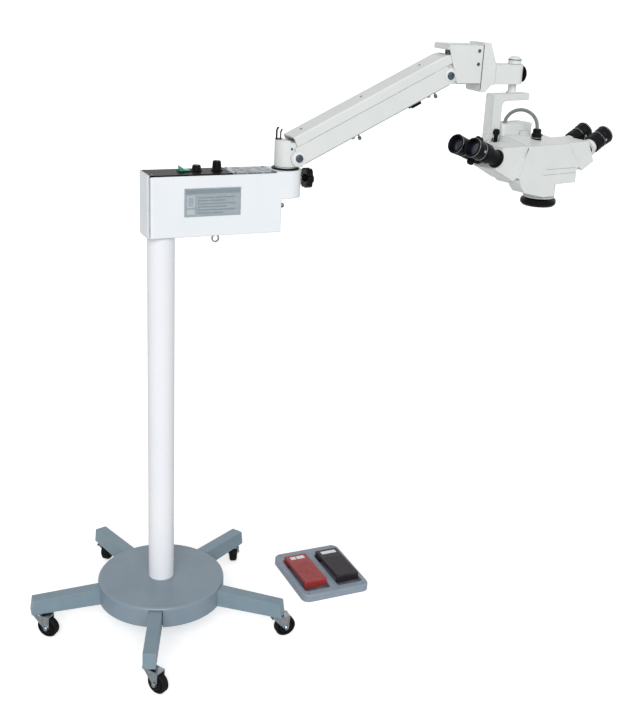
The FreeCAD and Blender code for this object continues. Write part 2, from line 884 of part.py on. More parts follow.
# Turret that swivels in the nose of the box and carries the lower pivots
def make_turret():
    turret = Piece("turret_bracket")
    flange_low = S.box_top + S.turret_gap
    flange_top = flange_low + S.turret_flange
    turret.pad([Disc(0, 0, S.turret_shaft)], S.box_top - S.turret_shaft_length, flange_low)
    turret.pad([Disc(0, 0, S.turret_radius)], flange_low, flange_top)
    pivot = S.pivot_x - S.turret_x
    end = pivot + 18
    half = S.turret_half_width
    turret.pad([Disc(0, 0, half)], flange_top, TURRET_TOP)
    turret.pad([rectangle(0, -half, end, half)], flange_top, TURRET_TOP)
    above = [
        (-2, TURRET_TOP + 1),
        (-2, TURRET_TOP),
        (1, TURRET_TOP - 4),
        (pivot + 11, TURRET_TOP - 5),
        (end, PIVOT_Z + 12),
        (end + 1, PIVOT_Z + 12),
        (end + 1, TURRET_TOP + 1),
    ]
    turret.pocket([above], -half, half, "XZ")
    below = [
        (pivot + 10, flange_top),
        (end, PIVOT_Z - 10),
        (end + 1, PIVOT_Z - 10),
        (end + 1, flange_top),
    ]
    turret.pocket([below], -half, half, "XZ")
    rod_room = S.rod_half_width + 1
    slot = rectangle(pivot - 16, PIVOT_Z + 11, pivot + 30, TURRET_TOP + 1)
    turret.pocket([slot], -rod_room, rod_room, "XZ")
    rod_pin = Disc(pivot, PIVOT_Z + S.rod_offset, S.rod_pin)
    turret.pad([rod_pin], -rod_room - 1, rod_room + 1, "XZ")
    turret.pocket([Disc(pivot, PIVOT_Z, S.pin_radius + S.running_fit)], -half, half, "XZ")
    on_column(turret, S.turret_x)


def make_pivot_pins(node, x, z):
    """A pivot bolt with a head outside each cheek of the beam."""
    bolt = Piece(node)
    head_start = S.beam_half_width + S.side_play
    reach = head_start + 4
    bolt.pad([Disc(0, 0, S.pin_radius)], -reach, reach, "XZ")
    bolt.pad([Disc(0, 0, S.pin_radius + 2.5)], head_start, reach, "XZ")
    bolt.pad([Disc(0, 0, S.pin_radius + 2.5)], -reach, -head_start, "XZ")
    on_column(bolt, x, 0, z)


def make_cable_hooks():
    hooks = Piece("cable_hooks")
    foot = TURRET_TOP + 2
    tip = TURRET_TOP + S.hook_height
    hooks.pad([rectangle(-25, -3, -12, 3)], TURRET_TOP, foot)
    arm = [
        (-25, foot),
        (-22, foot),
        (-22, tip - 7),
        (-18, tip),
        (-22, tip),
        (-25, tip - 7),
    ]
    hooks.pad([arm], -1.5, 1.5, "XZ")
    finger = [
        (-15, foot),
        (-13, foot),
        (-13, tip - 12),
        (-10, tip - 5),
        (-12, tip - 4),
        (-15, tip - 11),
    ]
    hooks.pad([finger], -1.5, 1.5, "XZ")
    on_column(hooks, S.turret_x)


# Balance beam
def make_beam_channel():
    channel = Piece("beam_channel")
    length = S.beam_length
    half = S.beam_half_width
    inside = half - S.beam_wall
    below = S.beam_below
    side_view = rectangle(0, -below, length, S.beam_seam)
    channel.pad([side_view], -half, half, "XZ")
    channel.pad([Disc(0, 0, below)], -half, half, "XZ")
    channel.pad([Disc(length, 0, below)], -half, half, "XZ")
    web_top = -below + S.beam_wall
    hollow = rectangle(-below - 1, web_top, length + below + 1, S.beam_seam)
    channel.pocket([hollow], -inside, inside, "XZ")
    start_gap = rectangle(-below - 1, -below, S.web_start, web_top)
    end_gap = rectangle(length - S.web_start, -below, length + below + 1, web_top)
    channel.pocket([start_gap], -inside, inside, "XZ")
    channel.pocket([end_gap], -inside, inside, "XZ")
    bore = S.pin_radius + S.running_fit
    channel.pocket([Disc(0, 0, bore), Disc(length, 0, bore)], -half, half, "XZ")
    on_beam(channel)


def make_beam_cover():
    cover = Piece("beam_cover")
    length = S.beam_length
    half = S.beam_half_width
    inside = half - S.beam_wall
    side_view = rectangle(S.beam_start, S.beam_seam, length, S.beam_above)
    cover.pad([side_view], -half, half, "XZ")
    cover.pad([Disc(length, 0, S.cover_nose)], -half, half, "XZ")
    low = rectangle(
        length - S.cover_nose - 1,
        -S.cover_nose - 1,
        length + S.cover_nose + 1,
        S.beam_seam,
    )
    cover.pocket([low], -half, half, "XZ")

    def top_edge(point):
        return near(point.z, S.beam_above)

    cover.ease(4, along("X", top_edge))
    roof = S.beam_above - S.beam_wall
    hollow = rectangle(S.beam_start - 1, S.beam_seam, length + S.cover_nose + 1, roof)
    cover.pocket([hollow], -inside, inside, "XZ")
    on_beam(cover)


def make_balance_spring():
    """A closed spring cartridge between two blocks that fill the channel's width."""
    spring = Piece("balance_spring")
    web = -S.beam_below + S.beam_wall
    inside = S.beam_half_width - S.beam_wall
    start, end = S.spring_start, S.spring_start + S.spring_length
    spring.pad([Disc(0, S.spring_height, S.spring_radius)], start, end, "YZ")
    block = rectangle(-inside, web, inside, S.spring_height + S.spring_radius + 1)
    spring.pad([block], start, start + S.spring_block, "YZ")
    spring.pad([block], end - S.spring_block, end, "YZ")
    on_beam(spring)


def make_beam_clips():
    clips = Piece("beam_clips")
    low = -S.beam_below
    for start in (S.clip_low, S.clip_high):
        strap = rectangle(start, -4, start + S.clip_length, 4)
        clips.pad([strap], low - 1.5, low)
        middle = start + S.clip_length / 2
        ring = [Disc(middle, low - 7, 6.5), Disc(middle, low - 7, 4.5)]
        clips.pad(ring, -2, 2, "XZ")
    on_beam(clips)


def make_arm_lock():
    lock = Piece("arm_lock")
    low = -S.beam_below
    half = S.lock_half_width
    end = S.lock_start + S.lock_length
    middle = S.lock_start + S.lock_length / 2
    lock.pad([rectangle(S.lock_start, -half, end, half)], low - 7, low)
    lock.pad([Disc(middle, 0, 8)], low - 13, low - 7)
    on_beam(lock)


def make_tie_rod():
    rod = Piece("tie_rod")
    half = S.rod_half_width
    length = S.beam_length
    eye = 7
    rod.pad([rectangle(0, -4, length, 4)], -half, half, "XZ")
    rod.pad([Disc(0, 0, eye), Disc(0, 0, S.rod_pin + S.running_fit)], -half, half, "XZ")
    rod.pocket([Disc(0, 0, S.rod_pin + S.running_fit)], -half, half, "XZ")
    rod.pad([Disc(length, 0, eye)], -half, half, "XZ")
    rod.pocket([Disc(length, 0, S.rod_pin + S.side_play)], -half, half, "XZ")
    rise = Rotation(ABOUT_Y, -S.beam_rise.value)
    on_column(rod, S.pivot_x, 0, PIVOT_Z + S.rod_offset, rise)


# Head bracket that stays level at the beam's upper end
def make_head_bracket():
    bracket = Piece("head_bracket")
    half = S.beam_half_width
    tongue = S.turret_half_width
    below = S.beam_below
    end = S.bracket_length
    room = S.cover_nose + S.nose_clearance
    side_view = [
        (8, -below),
        (end, -below),
        (end, S.bracket_top),
        (-S.bracket_lip, S.bracket_top),
        (-S.bracket_lip, S.bracket_top - S.hood_thickness),
        (8, S.bracket_top - S.hood_thickness),
    ]
    bracket.pad([side_view], -half, half, "XZ")
    bracket.pocket([Disc(0, 0, room)], tongue, half, "XZ")
    bracket.pocket([Disc(0, 0, room)], -half, -tongue, "XZ")
    mouth = [
        (-30, S.rod_offset + 12),
        (28, S.rod_offset + 12),
        (34, S.bracket_top - S.hood_thickness),
        (-30, S.bracket_top - S.hood_thickness),
    ]
    bracket.pocket([mouth], -half, half, "XZ")
    finger = rectangle(-12, -14, 10, S.rod_offset + 11)
    bracket.pad([finger], -tongue, tongue, "XZ")
    jaw = [
        (20.5, -below),
        (52, -below),
        (52, 21),
        (46.5, 20.5),
        (20.5, 5),
    ]
    bracket.pad([jaw], tongue, half, "XZ")
    bracket.pad([jaw], -half, -tongue, "XZ")
    rod_room = S.rod_half_width + 1
    slot = rectangle(-14, 8.5, 14, S.rod_offset + 14)
    bracket.pocket([slot], -rod_room, rod_room, "XZ")
    bracket.pocket([Disc(0, 0, S.pin_radius + S.running_fit)], -tongue, tongue, "XZ")
    rod_pin = Disc(0, S.rod_offset, S.rod_pin)
    bracket.pad([rod_pin], -rod_room - 1, rod_room + 1, "XZ")
    on_column(bracket, UPPER_X, 0, UPPER_Z)


def make_swivel_head():
    swivel = Piece("swivel_head")
    face = UPPER_X + S.bracket_length
    start = face - S.spindle_x
    rib = [
        (start, RIB_TOP),
        (start, SWIVEL_BOTTOM - S.rib_drop),
        (start + 15, SWIVEL_BOTTOM - S.rib_drop),
        (start + 32, SWIVEL_BOTTOM),
        (start + 40, SWIVEL_BOTTOM),
        (start + 40, SWIVEL_TOP),
        (start + 20, RIB_TOP),
    ]
    wide = S.beam_half_width
    swivel.pad([rib], -wide, wide, "XZ")

    def rib_foot(point):
        return near(point.z, SWIVEL_BOTTOM - S.rib_drop)

    swivel.ease(7, along("Y", rib_foot))
    block = rectangle(start + 30, -S.swivel_half_width, 0, S.swivel_half_width)
    swivel.pad([block], SWIVEL_BOTTOM, SWIVEL_TOP)
    swivel.pad([Disc(0, 0, S.swivel_half_width)], SWIVEL_BOTTOM, SWIVEL_TOP)
    bore = Disc(0, 0, S.spindle_radius + S.running_fit)
    swivel.pocket([bore], SWIVEL_BOTTOM, SWIVEL_TOP)
    mid = (SWIVEL_BOTTOM + SWIVEL_TOP) / 2
    screw = Disc(0, mid, S.brake_screw + S.running_fit)
    swivel.pocket([screw], S.spindle_radius + 2, S.swivel_half_width, "YZ")
    on_column(swivel, S.spindle_x)


def make_brake_knob():
    knob = Piece("brake_knob")
    radius = S.brake_radius
    thick = S.brake_thickness
    screw = S.swivel_half_width - S.spindle_radius - 3
    outline = [
        (0, -screw),
        (S.brake_screw, -screw),
        (S.brake_screw, 1),
        (radius - 1, 1),
        (radius, 2),
        (radius, thick),
        (radius - 1, 1 + thick),
        (7, 1 + thick),
        (3, 1 + thick + S.brake_hub),
        (0, 1 + thick + S.brake_hub),
    ]
    knob.turn(outline)
    mid = (SWIVEL_BOTTOM + SWIVEL_TOP) / 2
    edge = S.spindle_x + S.swivel_half_width
    on_column(knob, edge, 0, mid, Rotation(ABOUT_Y, 90))


# Yoke: spindle, cap and the bent arm that carries the focus unit
def make_yoke():
    yoke = Piece("yoke_arm")
    half = S.yoke_half_depth
    low = YOKE_TOP - S.yoke_thickness
    foot = TILT_Z - S.tilt_boss
    arm_right = -S.yoke_left + S.yoke_arm_width
    side_view = [
        (-S.yoke_left, foot),
        (arm_right, foot),
        (arm_right, low - S.yoke_corner),
        (arm_right + 3.5, low - 3.5),
        (arm_right + S.yoke_corner, low),
        (S.yoke_right, low),
        (S.yoke_right, YOKE_TOP),
        (-S.yoke_left + 3, YOKE_TOP),
        (-S.yoke_left, YOKE_TOP - 3),
    ]
    yoke.pad([side_view], -half, half, "XZ")
    yoke.pad([Disc(0, 0, S.spindle_radius)], YOKE_TOP - 1, SWIVEL_TOP + 6)

    def foot_corner(point):
        return near(point.z, foot)

    yoke.ease(half - 1, along("X", foot_corner))
    bore = Disc(0, TILT_Z, S.tilt_shaft + S.running_fit)
    yoke.pocket([bore], -S.yoke_left, arm_right, "YZ")
    lever_x = (arm_right - S.yoke_left) / 2
    lever_bore = Disc(lever_x, TILT_Z + S.lever_drop, 4 + S.running_fit)
    yoke.pocket([lever_bore], -half, -half + 9, "XZ")
    on_head(yoke)


def make_spindle_cap():
    cap = Piece("spindle_cap")
    radius = S.cap_radius
    low = SWIVEL_TOP + S.side_play
    high = low + S.cap_height
    socket = SWIVEL_TOP + 6
    outline = [
        (S.spindle_radius, low),
        (radius, low),
        (radius, high - 8),
        (radius * 0.88, high - 4),
        (radius * 0.6, high - 1),
        (0, high),
        (0, socket),
        (S.spindle_radius, socket),
    ]
    cap.turn(outline)
    on_head(cap)


def make_tilt_lever():
    lever = Piece("tilt_lever")
    lever.pad([Disc(0, 0, 4)], -8.5, 2)
    lever.pad([Disc(0, 0, 8)], 1, 8)
    handle = rectangle(-4, -S.lever_length, 4, 0)
    lever.pad([handle], 2, 7)
    arm_mid = -S.yoke_left + S.yoke_arm_width / 2
    out = Rotation(ABOUT_X, 90)
    on_head(lever, arm_mid, -S.yoke_half_depth, TILT_Z + S.lever_drop, out)


# Focus unit that tilts on the yoke and drives the microscope up and down
def make_focus_housing():
    housing = Piece("focus_housing")
    left, right = -S.focus_left, S.focus_right
    front, back = -S.focus_front, S.focus_back
    housing.pad([rectangle(left, front, right, back)], FOCUS_BOTTOM, FOCUS_TOP)

    def upright(point):
        return True

    housing.ease(S.focus_corner, along("Z", upright))
    housing.ease(2, lambda edge: near(edge.CenterOfMass.z, FOCUS_TOP))
    wall = S.focus_wall
    inside = rectangle(left + wall + 4, front + wall + 3, right - wall, back - wall)
    housing.pocket([inside], FOCUS_BOTTOM, FOCUS_TOP - wall)
    neck_front = front - S.rail_neck
    neck = rectangle(
        S.rail_x - S.rail_half_neck,
        neck_front,
        S.rail_x + S.rail_half_neck,
        front,
    )
    housing.pad([neck], RAIL_BOTTOM, RAIL_TOP)
    head = rectangle(
        S.rail_x - S.rail_half_width,
        neck_front - S.rail_depth,
        S.rail_x + S.rail_half_width,
        neck_front,
    )
    housing.pad([head], RAIL_BOTTOM, RAIL_TOP)
    shaft_end = -S.yoke_left - 3
    shaft = Disc(0, TILT_Z, S.tilt_shaft)
    housing.pad([shaft], shaft_end, left + wall, "YZ")
    hole = Disc(S.guide_end_x, S.guide_end_y, S.guide_radius + S.cord_play)
    housing.pocket([hole], FOCUS_TOP - wall, FOCUS_TOP)
    on_head(housing)


def make_focus_motor():
    motor = Piece("focus_motor")
    wall = S.focus_wall
    floor = FOCUS_BOTTOM + 4
    left = -S.focus_left + wall + 4
    low = left + 22
    front = -S.focus_front + wall + 3
    frame = rectangle(low, front, S.focus_right - wall, S.focus_back - wall)
    motor.pad([frame], floor, floor + 5)
    motor.pad([Disc(S.rail_x, 4, 15)], floor + 5, floor + 42)
    motor.pad([Disc(S.rail_x, 4, 4)], floor + 42, floor + 52)
    on_head(motor)


# Microscope body with objective and light guide
def scope_outline():
    return [
        (-S.scope_left, SCOPE_CROWN),
        (-S.scope_left, SCOPE_TOP),
        (-S.scope_left_low, SCOPE_BOTTOM + S.prism_foot),
        (-S.scope_left + 7, SCOPE_BOTTOM),
        (S.scope_foot, SCOPE_BOTTOM),
        (S.scope_foot, SCOPE_WAIST - 4),
        (S.scope_right_low, SCOPE_WAIST + 2),
        (S.scope_right, SCOPE_TOP),
        (S.scope_right - 10, SCOPE_CROWN),
    ]


def make_scope_body():
    scope = Piece("scope_body")
    front = S.scope_front
    back = -S.focus_front - S.slide_gap
    scope.pad([scope_outline()], front, back, "XZ")
    wedge = [
        (front - 1, SCOPE_TOP),
        (front, SCOPE_TOP),
        (back - 25, SCOPE_CROWN),
        (back - 25, SCOPE_CROWN + 1),
        (front - 1, SCOPE_CROWN + 1),
    ]
    scope.pocket([wedge], -S.scope_left_low, S.scope_right_low, "YZ")
    collar = Disc(S.optic_x, S.scope_y, S.collar_radius)
    scope.pad([collar], COLLAR_BOTTOM, SCOPE_BOTTOM)
    collar_left = S.optic_x - S.collar_radius
    flare = [
        (-S.scope_left_low + 6, SCOPE_BOTTOM + 20),
        (-S.scope_left_low + 6, SCOPE_BOTTOM + 12),
        (-S.scope_left_low + 12, SCOPE_BOTTOM),
        (-S.scope_left_low + 25, SCOPE_BOTTOM - S.flare_height * 0.45),
        (collar_left, SCOPE_BOTTOM - S.flare_height),
        (S.optic_x, SCOPE_BOTTOM - S.flare_height),
        (S.optic_x, SCOPE_BOTTOM + 2),
    ]
    scope.pad([flare], front, front + S.flare_depth, "XZ")
    wall = S.scope_wall
    rail_room = S.rail_neck + S.rail_depth + S.side_play
    chamber = [
        (-S.scope_left + wall, SCOPE_TOP - wall),
        (-S.scope_left_low + wall, SCOPE_BOTTOM + S.prism_foot),
        (-S.scope_left + wall + 9, SCOPE_BOTTOM + wall),
        (S.scope_foot - wall, SCOPE_BOTTOM + wall),
        (S.scope_foot - wall, SCOPE_WAIST - 4 + wall),
        (S.scope_right_low - wall - 2, SCOPE_WAIST + 2),
        (S.scope_right - wall, SCOPE_TOP - wall),
    ]
    scope.pocket([chamber], front + wall, -S.focus_front - rail_room - wall, "XZ")
    light_path = Disc(S.optic_x, S.scope_y, S.objective_bore - 2)
    scope.pocket([light_path], COLLAR_BOTTOM, SCOPE_BOTTOM + wall)
    play = S.side_play
    plug_bore = Disc(S.plug_x, S.scope_y, S.plug_radius + S.running_fit)
    scope.pocket([plug_bore], plug_seat() - S.plug_sink, SCOPE_CROWN)
    rail_back = -S.focus_front - S.rail_neck
    head = rectangle(
        S.rail_x - S.rail_half_width - play,
        rail_back - S.rail_depth - play,
        S.rail_x + S.rail_half_width + play,
        rail_back + play,
    )
    neck = rectangle(
        S.rail_x - S.rail_half_neck - play,
        rail_back,
        S.rail_x + S.rail_half_neck + play,
        back + 1,
    )
    scope.pocket([head], SCOPE_BOTTOM, SCOPE_CROWN)
    scope.pocket([neck], SCOPE_BOTTOM, SCOPE_CROWN)
    on_head(scope)


def make_objective_ring():
    ring = Piece("objective_ring")
    top = COLLAR_BOTTOM
    low = top - S.objective_height
    seat = low + 4
    outline = [
        (S.objective_bore - 2, top),
        (S.collar_radius, top),
        (S.objective_radius, top - S.objective_edge),
        (S.objective_radius, low + S.objective_edge),
        (S.objective_radius - S.objective_edge, low),
        (S.objective_bore - 2, low),
        (S.objective_bore - 2, seat),
        (S.objective_bore, seat),
        (S.objective_bore, seat + S.lens_thickness),
        (S.objective_bore - 2, seat + S.lens_thickness),
    ]
    ring.turn(outline)
    on_head(ring, S.optic_x, S.scope_y)


def make_objective_lens():
    lens = Piece("objective_lens")
    seat = COLLAR_BOTTOM - S.objective_height + 4
    radius = S.objective_bore - S.running_fit
    lens.pad([Disc(0, 0, radius)], seat, seat + S.lens_thickness)
    on_head(lens, S.optic_x, S.scope_y)


def plug_seat():
    """Height of the sloping crown under the light plug."""
    rise = SCOPE_CROWN - SCOPE_TOP
    run = -S.focus_front - S.slide_gap - 25 - S.scope_front
    return SCOPE_TOP + rise * (S.scope_y.value - S.scope_front.value) / run


def make_light_plug():
    plug = Piece("light_plug")
    seat = plug_seat() - S.plug_sink
    top = plug_seat() + S.plug_height
    radius = S.plug_radius
    outline = [
        (0, seat),
        (radius, seat),
        (radius, top - 12),
        (radius - 2, top - 10),
        (radius - 2, top - 2),
        (radius - 4, top),
        (S.guide_radius, top),
        (S.guide_radius, top - S.guide_seat),
        (0, top - S.guide_seat),
    ]
    plug.turn(outline)
    on_head(plug, S.plug_x, S.scope_y)


GUIDE_CORNERS = 6


def guide_route():
    """Corner points of the guide's arch, from inside the plug to inside the housing."""
    start = Vector(S.plug_x.value, S.scope_y.value, 0)
    end = Vector(S.guide_end_x.value, S.guide_end_y.value, 0)
    span = (end - start).Length
    ahead = (end - start).normalize()
    step = math.pi / GUIDE_CORNERS
    reach = span / 2 / math.cos(step / 2)
    foot = (plug_seat() + S.plug_height - S.guide_seat).value
    spring_line = foot + span / 2 * math.tan(step / 2)
    route = [start + Vector(0, 0, foot)]
    for number in range(GUIDE_CORNERS):
        angle = step * (number + 0.5)
        across = span / 2 - reach * math.cos(angle)
        height = spring_line + reach * math.sin(angle)
        route.append(start + ahead * across + Vector(0, 0, height))
    route.append(end + Vector(0, 0, foot))
    return route


def rounded_route(points):
    """Straight runs joined by tangent arcs, and the radii of those arcs."""
    corners = [Vector(point) for point in points]
    edges = []
    radii = []
    start = corners[0]
    for index in range(1, len(corners) - 1):
        back = corners[index - 1] - corners[index]
        ahead = corners[index + 1] - corners[index]
        shorter = min(back.Length, ahead.Length)
        back.normalize()
        ahead.normalize()
        half_turn = (math.pi - back.getAngle(ahead)) / 2
        reach = 0.45 * shorter
        radii.append(reach / math.tan(half_turn))
        entry = corners[index] + back * reach
        leave = corners[index] + ahead * reach
        inward = (back + ahead).normalize()
        hub = corners[index] + inward * (radii[-1] / math.cos(half_turn))
        middle = hub - inward * radii[-1]
        edges.append(Part.LineSegment(start, entry).toShape())
        edges.append(Part.Arc(entry, middle, leave).toShape())
        start = leave
    edges.append(Part.LineSegment(start, corners[-1]).toShape())
    return Part.Wire(edges), radii


def make_light_guide():
    guide = doc.addObject("Part::Feature", "light_guide")
    guide.Label = "light_guide"
    path, radii = rounded_route(guide_route())
    radius = S.guide_radius.value
    section = Part.Wire(Part.makeCircle(radius, path.Vertexes[0].Point, Vector(0, 0, 1)))
    guide.Shape = path.makePipeShell([section], True, False)
    base = Vector(S.column_x.value + S.spindle_x.value, S.column_y.value, 0)
    guide.Placement = Placement(base, HEAD_TURN)
    PIECES.append(guide)
    wanted = math.pi * radius ** 2 * path.Length
    print("light_guide length %.1f radii" % path.Length, [round(r, 1) for r in radii])
    print("light_guide volume ratio %.4f" % (guide.Shape.Volume / wanted))


# Viewing tubes: prism housings, sliding tubes and eyepieces
MAIN_FLANGE = (S.main_flange_x, SCOPE_TOP - S.flange_drop)
SIDE_FLANGE = (S.side_flange_x, SCOPE_TOP - S.flange_drop + S.side_flange_lift)


def make_main_binocular():
    prism = Piece("main_binocular")
    rise = S.main_rise
    flange_x, flange_z = MAIN_FLANGE
    up, down = S.main_up, S.main_down
    outline = [
        (-S.scope_left, SCOPE_TOP),
        (flange_x + up * sine(rise), flange_z + up * cosine(rise)),
        (flange_x - down * sine(rise), flange_z - down * cosine(rise)),
        (-S.scope_left_low - S.prism_lip, SCOPE_BOTTOM + S.prism_lift),
        (-S.scope_left_low, SCOPE_BOTTOM + S.prism_foot),
    ]
    middle = S.scope_y + S.main_shift
    low = middle - S.main_half_depth
    high = middle + S.main_half_depth
    prism.pad([outline], low, high, "XZ")
    wall = S.scope_wall
    up, down = up - wall, down - wall
    flange_x = flange_x + wall
    chamber = [
        (-S.scope_left - wall, SCOPE_TOP - wall),
        (flange_x + up * sine(rise), flange_z + up * cosine(rise) - 2),
        (flange_x - down * sine(rise), flange_z - down * cosine(rise) + 2),
        (-S.scope_left_low - S.prism_lip, SCOPE_BOTTOM + S.prism_lift + wall * 1.3),
        (-S.scope_left_low - wall, SCOPE_BOTTOM + S.prism_foot + wall),
    ]
    prism.pocket([chamber], low + wall, high - wall, "XZ")
    on_head(prism)


def make_side_binocular():
    prism = Piece("assistant_binocular")
    rise = S.side_rise
    flange_x, flange_z = SIDE_FLANGE
    up, down = S.side_up, S.side_down
    foot_x = flange_x + down * sine(rise)
    foot_z = flange_z - down * cosine(rise)
    outline = [
        (S.scope_right, SCOPE_TOP),
        (S.scope_right_low, SCOPE_WAIST + 2),
        (foot_x - S.knee_run, foot_z - S.knee_drop),
        (foot_x, foot_z),
        (flange_x - up * sine(rise), flange_z + up * cosine(rise)),
    ]
    low = S.scope_y - S.side_half_depth
    high = S.scope_y + S.side_half_depth
    prism.pad([outline], low, high, "XZ")
    wall = S.scope_wall
    up, down = up - wall, down - wall
    flange_x = flange_x - wall
    foot_x = flange_x + down * sine(rise)
    foot_z = flange_z - down * cosine(rise)
    chamber = [
        (S.scope_right + wall * 1.5, SCOPE_TOP - wall),
        (S.scope_right_low + wall, SCOPE_WAIST + 2 + wall),
        (foot_x - S.knee_run + wall, foot_z - S.knee_drop + wall * 1.6),
        (foot_x, foot_z),
        (flange_x - up * sine(rise), flange_z + up * cosine(rise) - 2),
    ]
    prism.pocket([chamber], low + wall, high - wall, "XZ")
    on_head(prism)


def tube_frame(side):
    """Flange centre, direction sign and rise of one pair of tubes."""
    if side == "main":
        return MAIN_FLANGE, -1, S.main_rise
    return SIDE_FLANGE, 1, S.side_rise


def place_on_flange(piece, side, y, off=0.0, up=0.0):
    """Places a piece drawn along Z on a prism flange, off mm out and up mm up its face."""
    (flange_x, flange_z), sign, rise = tube_frame(side)
    off, up = as_size(off), as_size(up)
    x = off * (sign * cosine(rise)) - up * (sign * sine(rise)) + flange_x
    z = off * sine(rise) + up * cosine(rise) + flange_z
    lean = Rotation(ABOUT_Y, sign * (90 - rise.value))
    on_head(piece, x, y, z, lean)


def make_tube(node, side, y, length):
    tube = Piece(node)
    low = S.side_play
    thick = S.tube_flange_thickness
    bore = S.eyepiece_neck + S.running_fit
    outline = [
        (bore, low),
        (S.tube_flange, low),
        (S.tube_flange, low + thick),
        (S.tube_radius, low + thick + 1.5),
        (S.tube_radius, length),
        (bore, length),
    ]
    tube.turn(outline)
    place_on_flange(tube, side, y)


def make_eyepiece(node, side, y, length):
    eyepiece = Piece(node)
    start = length + S.side_play
    end = start + S.eyepiece_length
    radius = S.eyepiece_radius
    neck = S.eyepiece_neck
    dip = S.side_tube_length - 4
    bore = S.eyecup_bore
    outline = [
        (0, start - dip),
        (neck, start - dip),
        (neck, start),
        (radius - 2.5, start),
        (radius - 1, start + 2),
        (radius - 1, start + 17),
        (radius - 2.5, start + 19),
        (radius - 2.5, start + 23),
        (radius - 1.5, start + 25),
        (radius - 1.5, end - 20),
        (radius - 0.5, end - 18),
        (radius, end - 2),
        (radius - 1, end),
        (radius - 3.5, end),
        (bore, end - 9),
        (bore, end - 12),
        (0, end - 12),
    ]
    eyepiece.turn(outline)
    place_on_flange(eyepiece, side, y)


def make_viewing_tubes():
    pairs = (
        ("main", S.scope_y + S.main_shift, S.main_spacing / 2, S.main_tube_length),
        ("assistant", S.scope_y + S.side_shift, S.side_spacing / 2, S.side_tube_length),
    )
    for side, middle, half, length in pairs:
        for place, y in (("near", middle - half), ("far", middle + half)):
            make_tube("%s_tube_%s" % (side, place), side, y, length)
            make_eyepiece("%s_eyepiece_%s" % (side, place), side, y, length)


def make_ipd_knob():
    knob = Piece("ipd_knob")
    radius = S.ipd_knob_radius
    low = S.ipd_stem
    high = low + S.ipd_knob_length
    outline = [
        (0, S.side_play),
        (3, S.side_play),
        (3, low),
        (radius - 1, low),
        (radius, low + 1),
        (radius, high - 1),
        (radius - 1, high),
        (0, high),
    ]
    knob.turn(outline)
    place_on_flange(knob, "main", S.scope_y + S.main_shift, 0, S.ipd_lift)


# Foot switch with two rocking pedals
def on_tray(piece):
    turn = Rotation(ABOUT_Z, S.tray_turn.value)
    on_column(piece, S.tray_x, S.tray_y, 0, turn)


def make_tray():
    tray = Piece("foot_switch_tray")
    half_x = S.tray_length / 2
    half_y = S.tray_depth / 2
    tray.pad([rectangle(-half_x, -half_y, half_x, half_y)], 0, S.tray_height)
    tray.ease(S.tray_corner, along("Z"))
    tray.ease(S.tray_edge, lambda edge: near(edge.CenterOfMass.z, S.tray_height))
    half_bay = S.pedal_width / 2 + S.pedal_gap
    hinge_y = half_y - S.hinge_inset
    bay_far = hinge_y + S.pedal_heel + S.pedal_gap
    bay_near = -half_y + S.tray_rim
    for x in (S.red_x, S.black_x):
        bay = rectangle(x - half_bay, bay_near, x + half_bay, bay_far)
        tray.pocket([bay], S.tray_floor, S.tray_height)

    def bay_corner(point):
        return abs(point.x) < (half_x - 2).value and abs(point.y) < (half_y - 2).value

    tray.ease(S.bay_corner, along("Z", bay_corner))
    bore = Disc(hinge_y, S.hinge_z, S.hinge_radius + S.running_fit)
    pin_end = half_bay + PEDAL_PIN + 1
    tray.pocket([bore], S.red_x - pin_end, S.black_x + pin_end, "YZ")
    on_tray(tray)


PEDAL_PIN = 4


def make_pedal(node, x):
    pedal = Piece(node)
    half = S.pedal_width / 2
    hinge_y = S.tray_depth / 2 - S.hinge_inset
    far = hinge_y + S.pedal_heel
    close = far - S.pedal_length
    sole = S.hinge_z - 5
    side_view = [
        (far, sole),
        (far, S.pedal_low),
        (close + 3, S.pedal_high),
        (close, S.pedal_high - 3),
        (close, S.pedal_front),
        (close + S.pedal_shell, S.pedal_front),
        (close + S.pedal_shell, S.pedal_high - 10),
        (hinge_y - 14, S.pedal_low - 9),
        (hinge_y - 8, sole),
    ]
    pedal.pad([side_view], x - half, x + half, "YZ")

    def upper_edge(edge):
        return edge.CenterOfMass.z > S.pedal_low.value - 1

    pedal.ease(S.pedal_edge, upper_edge)
    pin = Disc(hinge_y, S.hinge_z, S.hinge_radius)
    pin_end = half + S.pedal_gap + PEDAL_PIN
    pedal.pad([pin], x - pin_end, x + pin_end, "YZ")
    on_tray(pedal)


def make_everything():
    make_base_spider()
    make_drum_cover()
    make_column()
    make_casters()
    make_box_shell()
    make_control_panel()
    make_lid()
    make_column_sleeve()
    make_lamp_module()
    make_cable_loop()
    make_power_rocker()
    make_panel_knob("brightness_knob", S.dimmer_x, S.dimmer_height)
    make_panel_knob("lamp_select_knob", S.selector_x, S.selector_height)
    make_clamp_knob()
    make_turret()
    make_cable_hooks()
    make_pivot_pins("lower_pivot_bolt", S.pivot_x, PIVOT_Z)
    make_beam_channel()
    make_beam_cover()
    make_balance_spring()
    make_beam_clips()
    make_arm_lock()
    make_tie_rod()
    make_head_bracket()
    make_swivel_head()
    make_pivot_pins("upper_pivot_bolt", UPPER_X, UPPER_Z)
    make_brake_knob()
    make_yoke()
    make_spindle_cap()
    make_tilt_lever()
    make_focus_housing()
    make_focus_motor()
    make_scope_body()
    make_objective_ring()
    make_objective_lens()
    make_light_plug()
    make_light_guide()
    make_main_binocular()
    make_side_binocular()
    make_viewing_tubes()
    make_ipd_knob()
    make_tray()
    make_pedal("red_pedal", S.red_x)
    make_pedal("black_pedal", S.black_x)


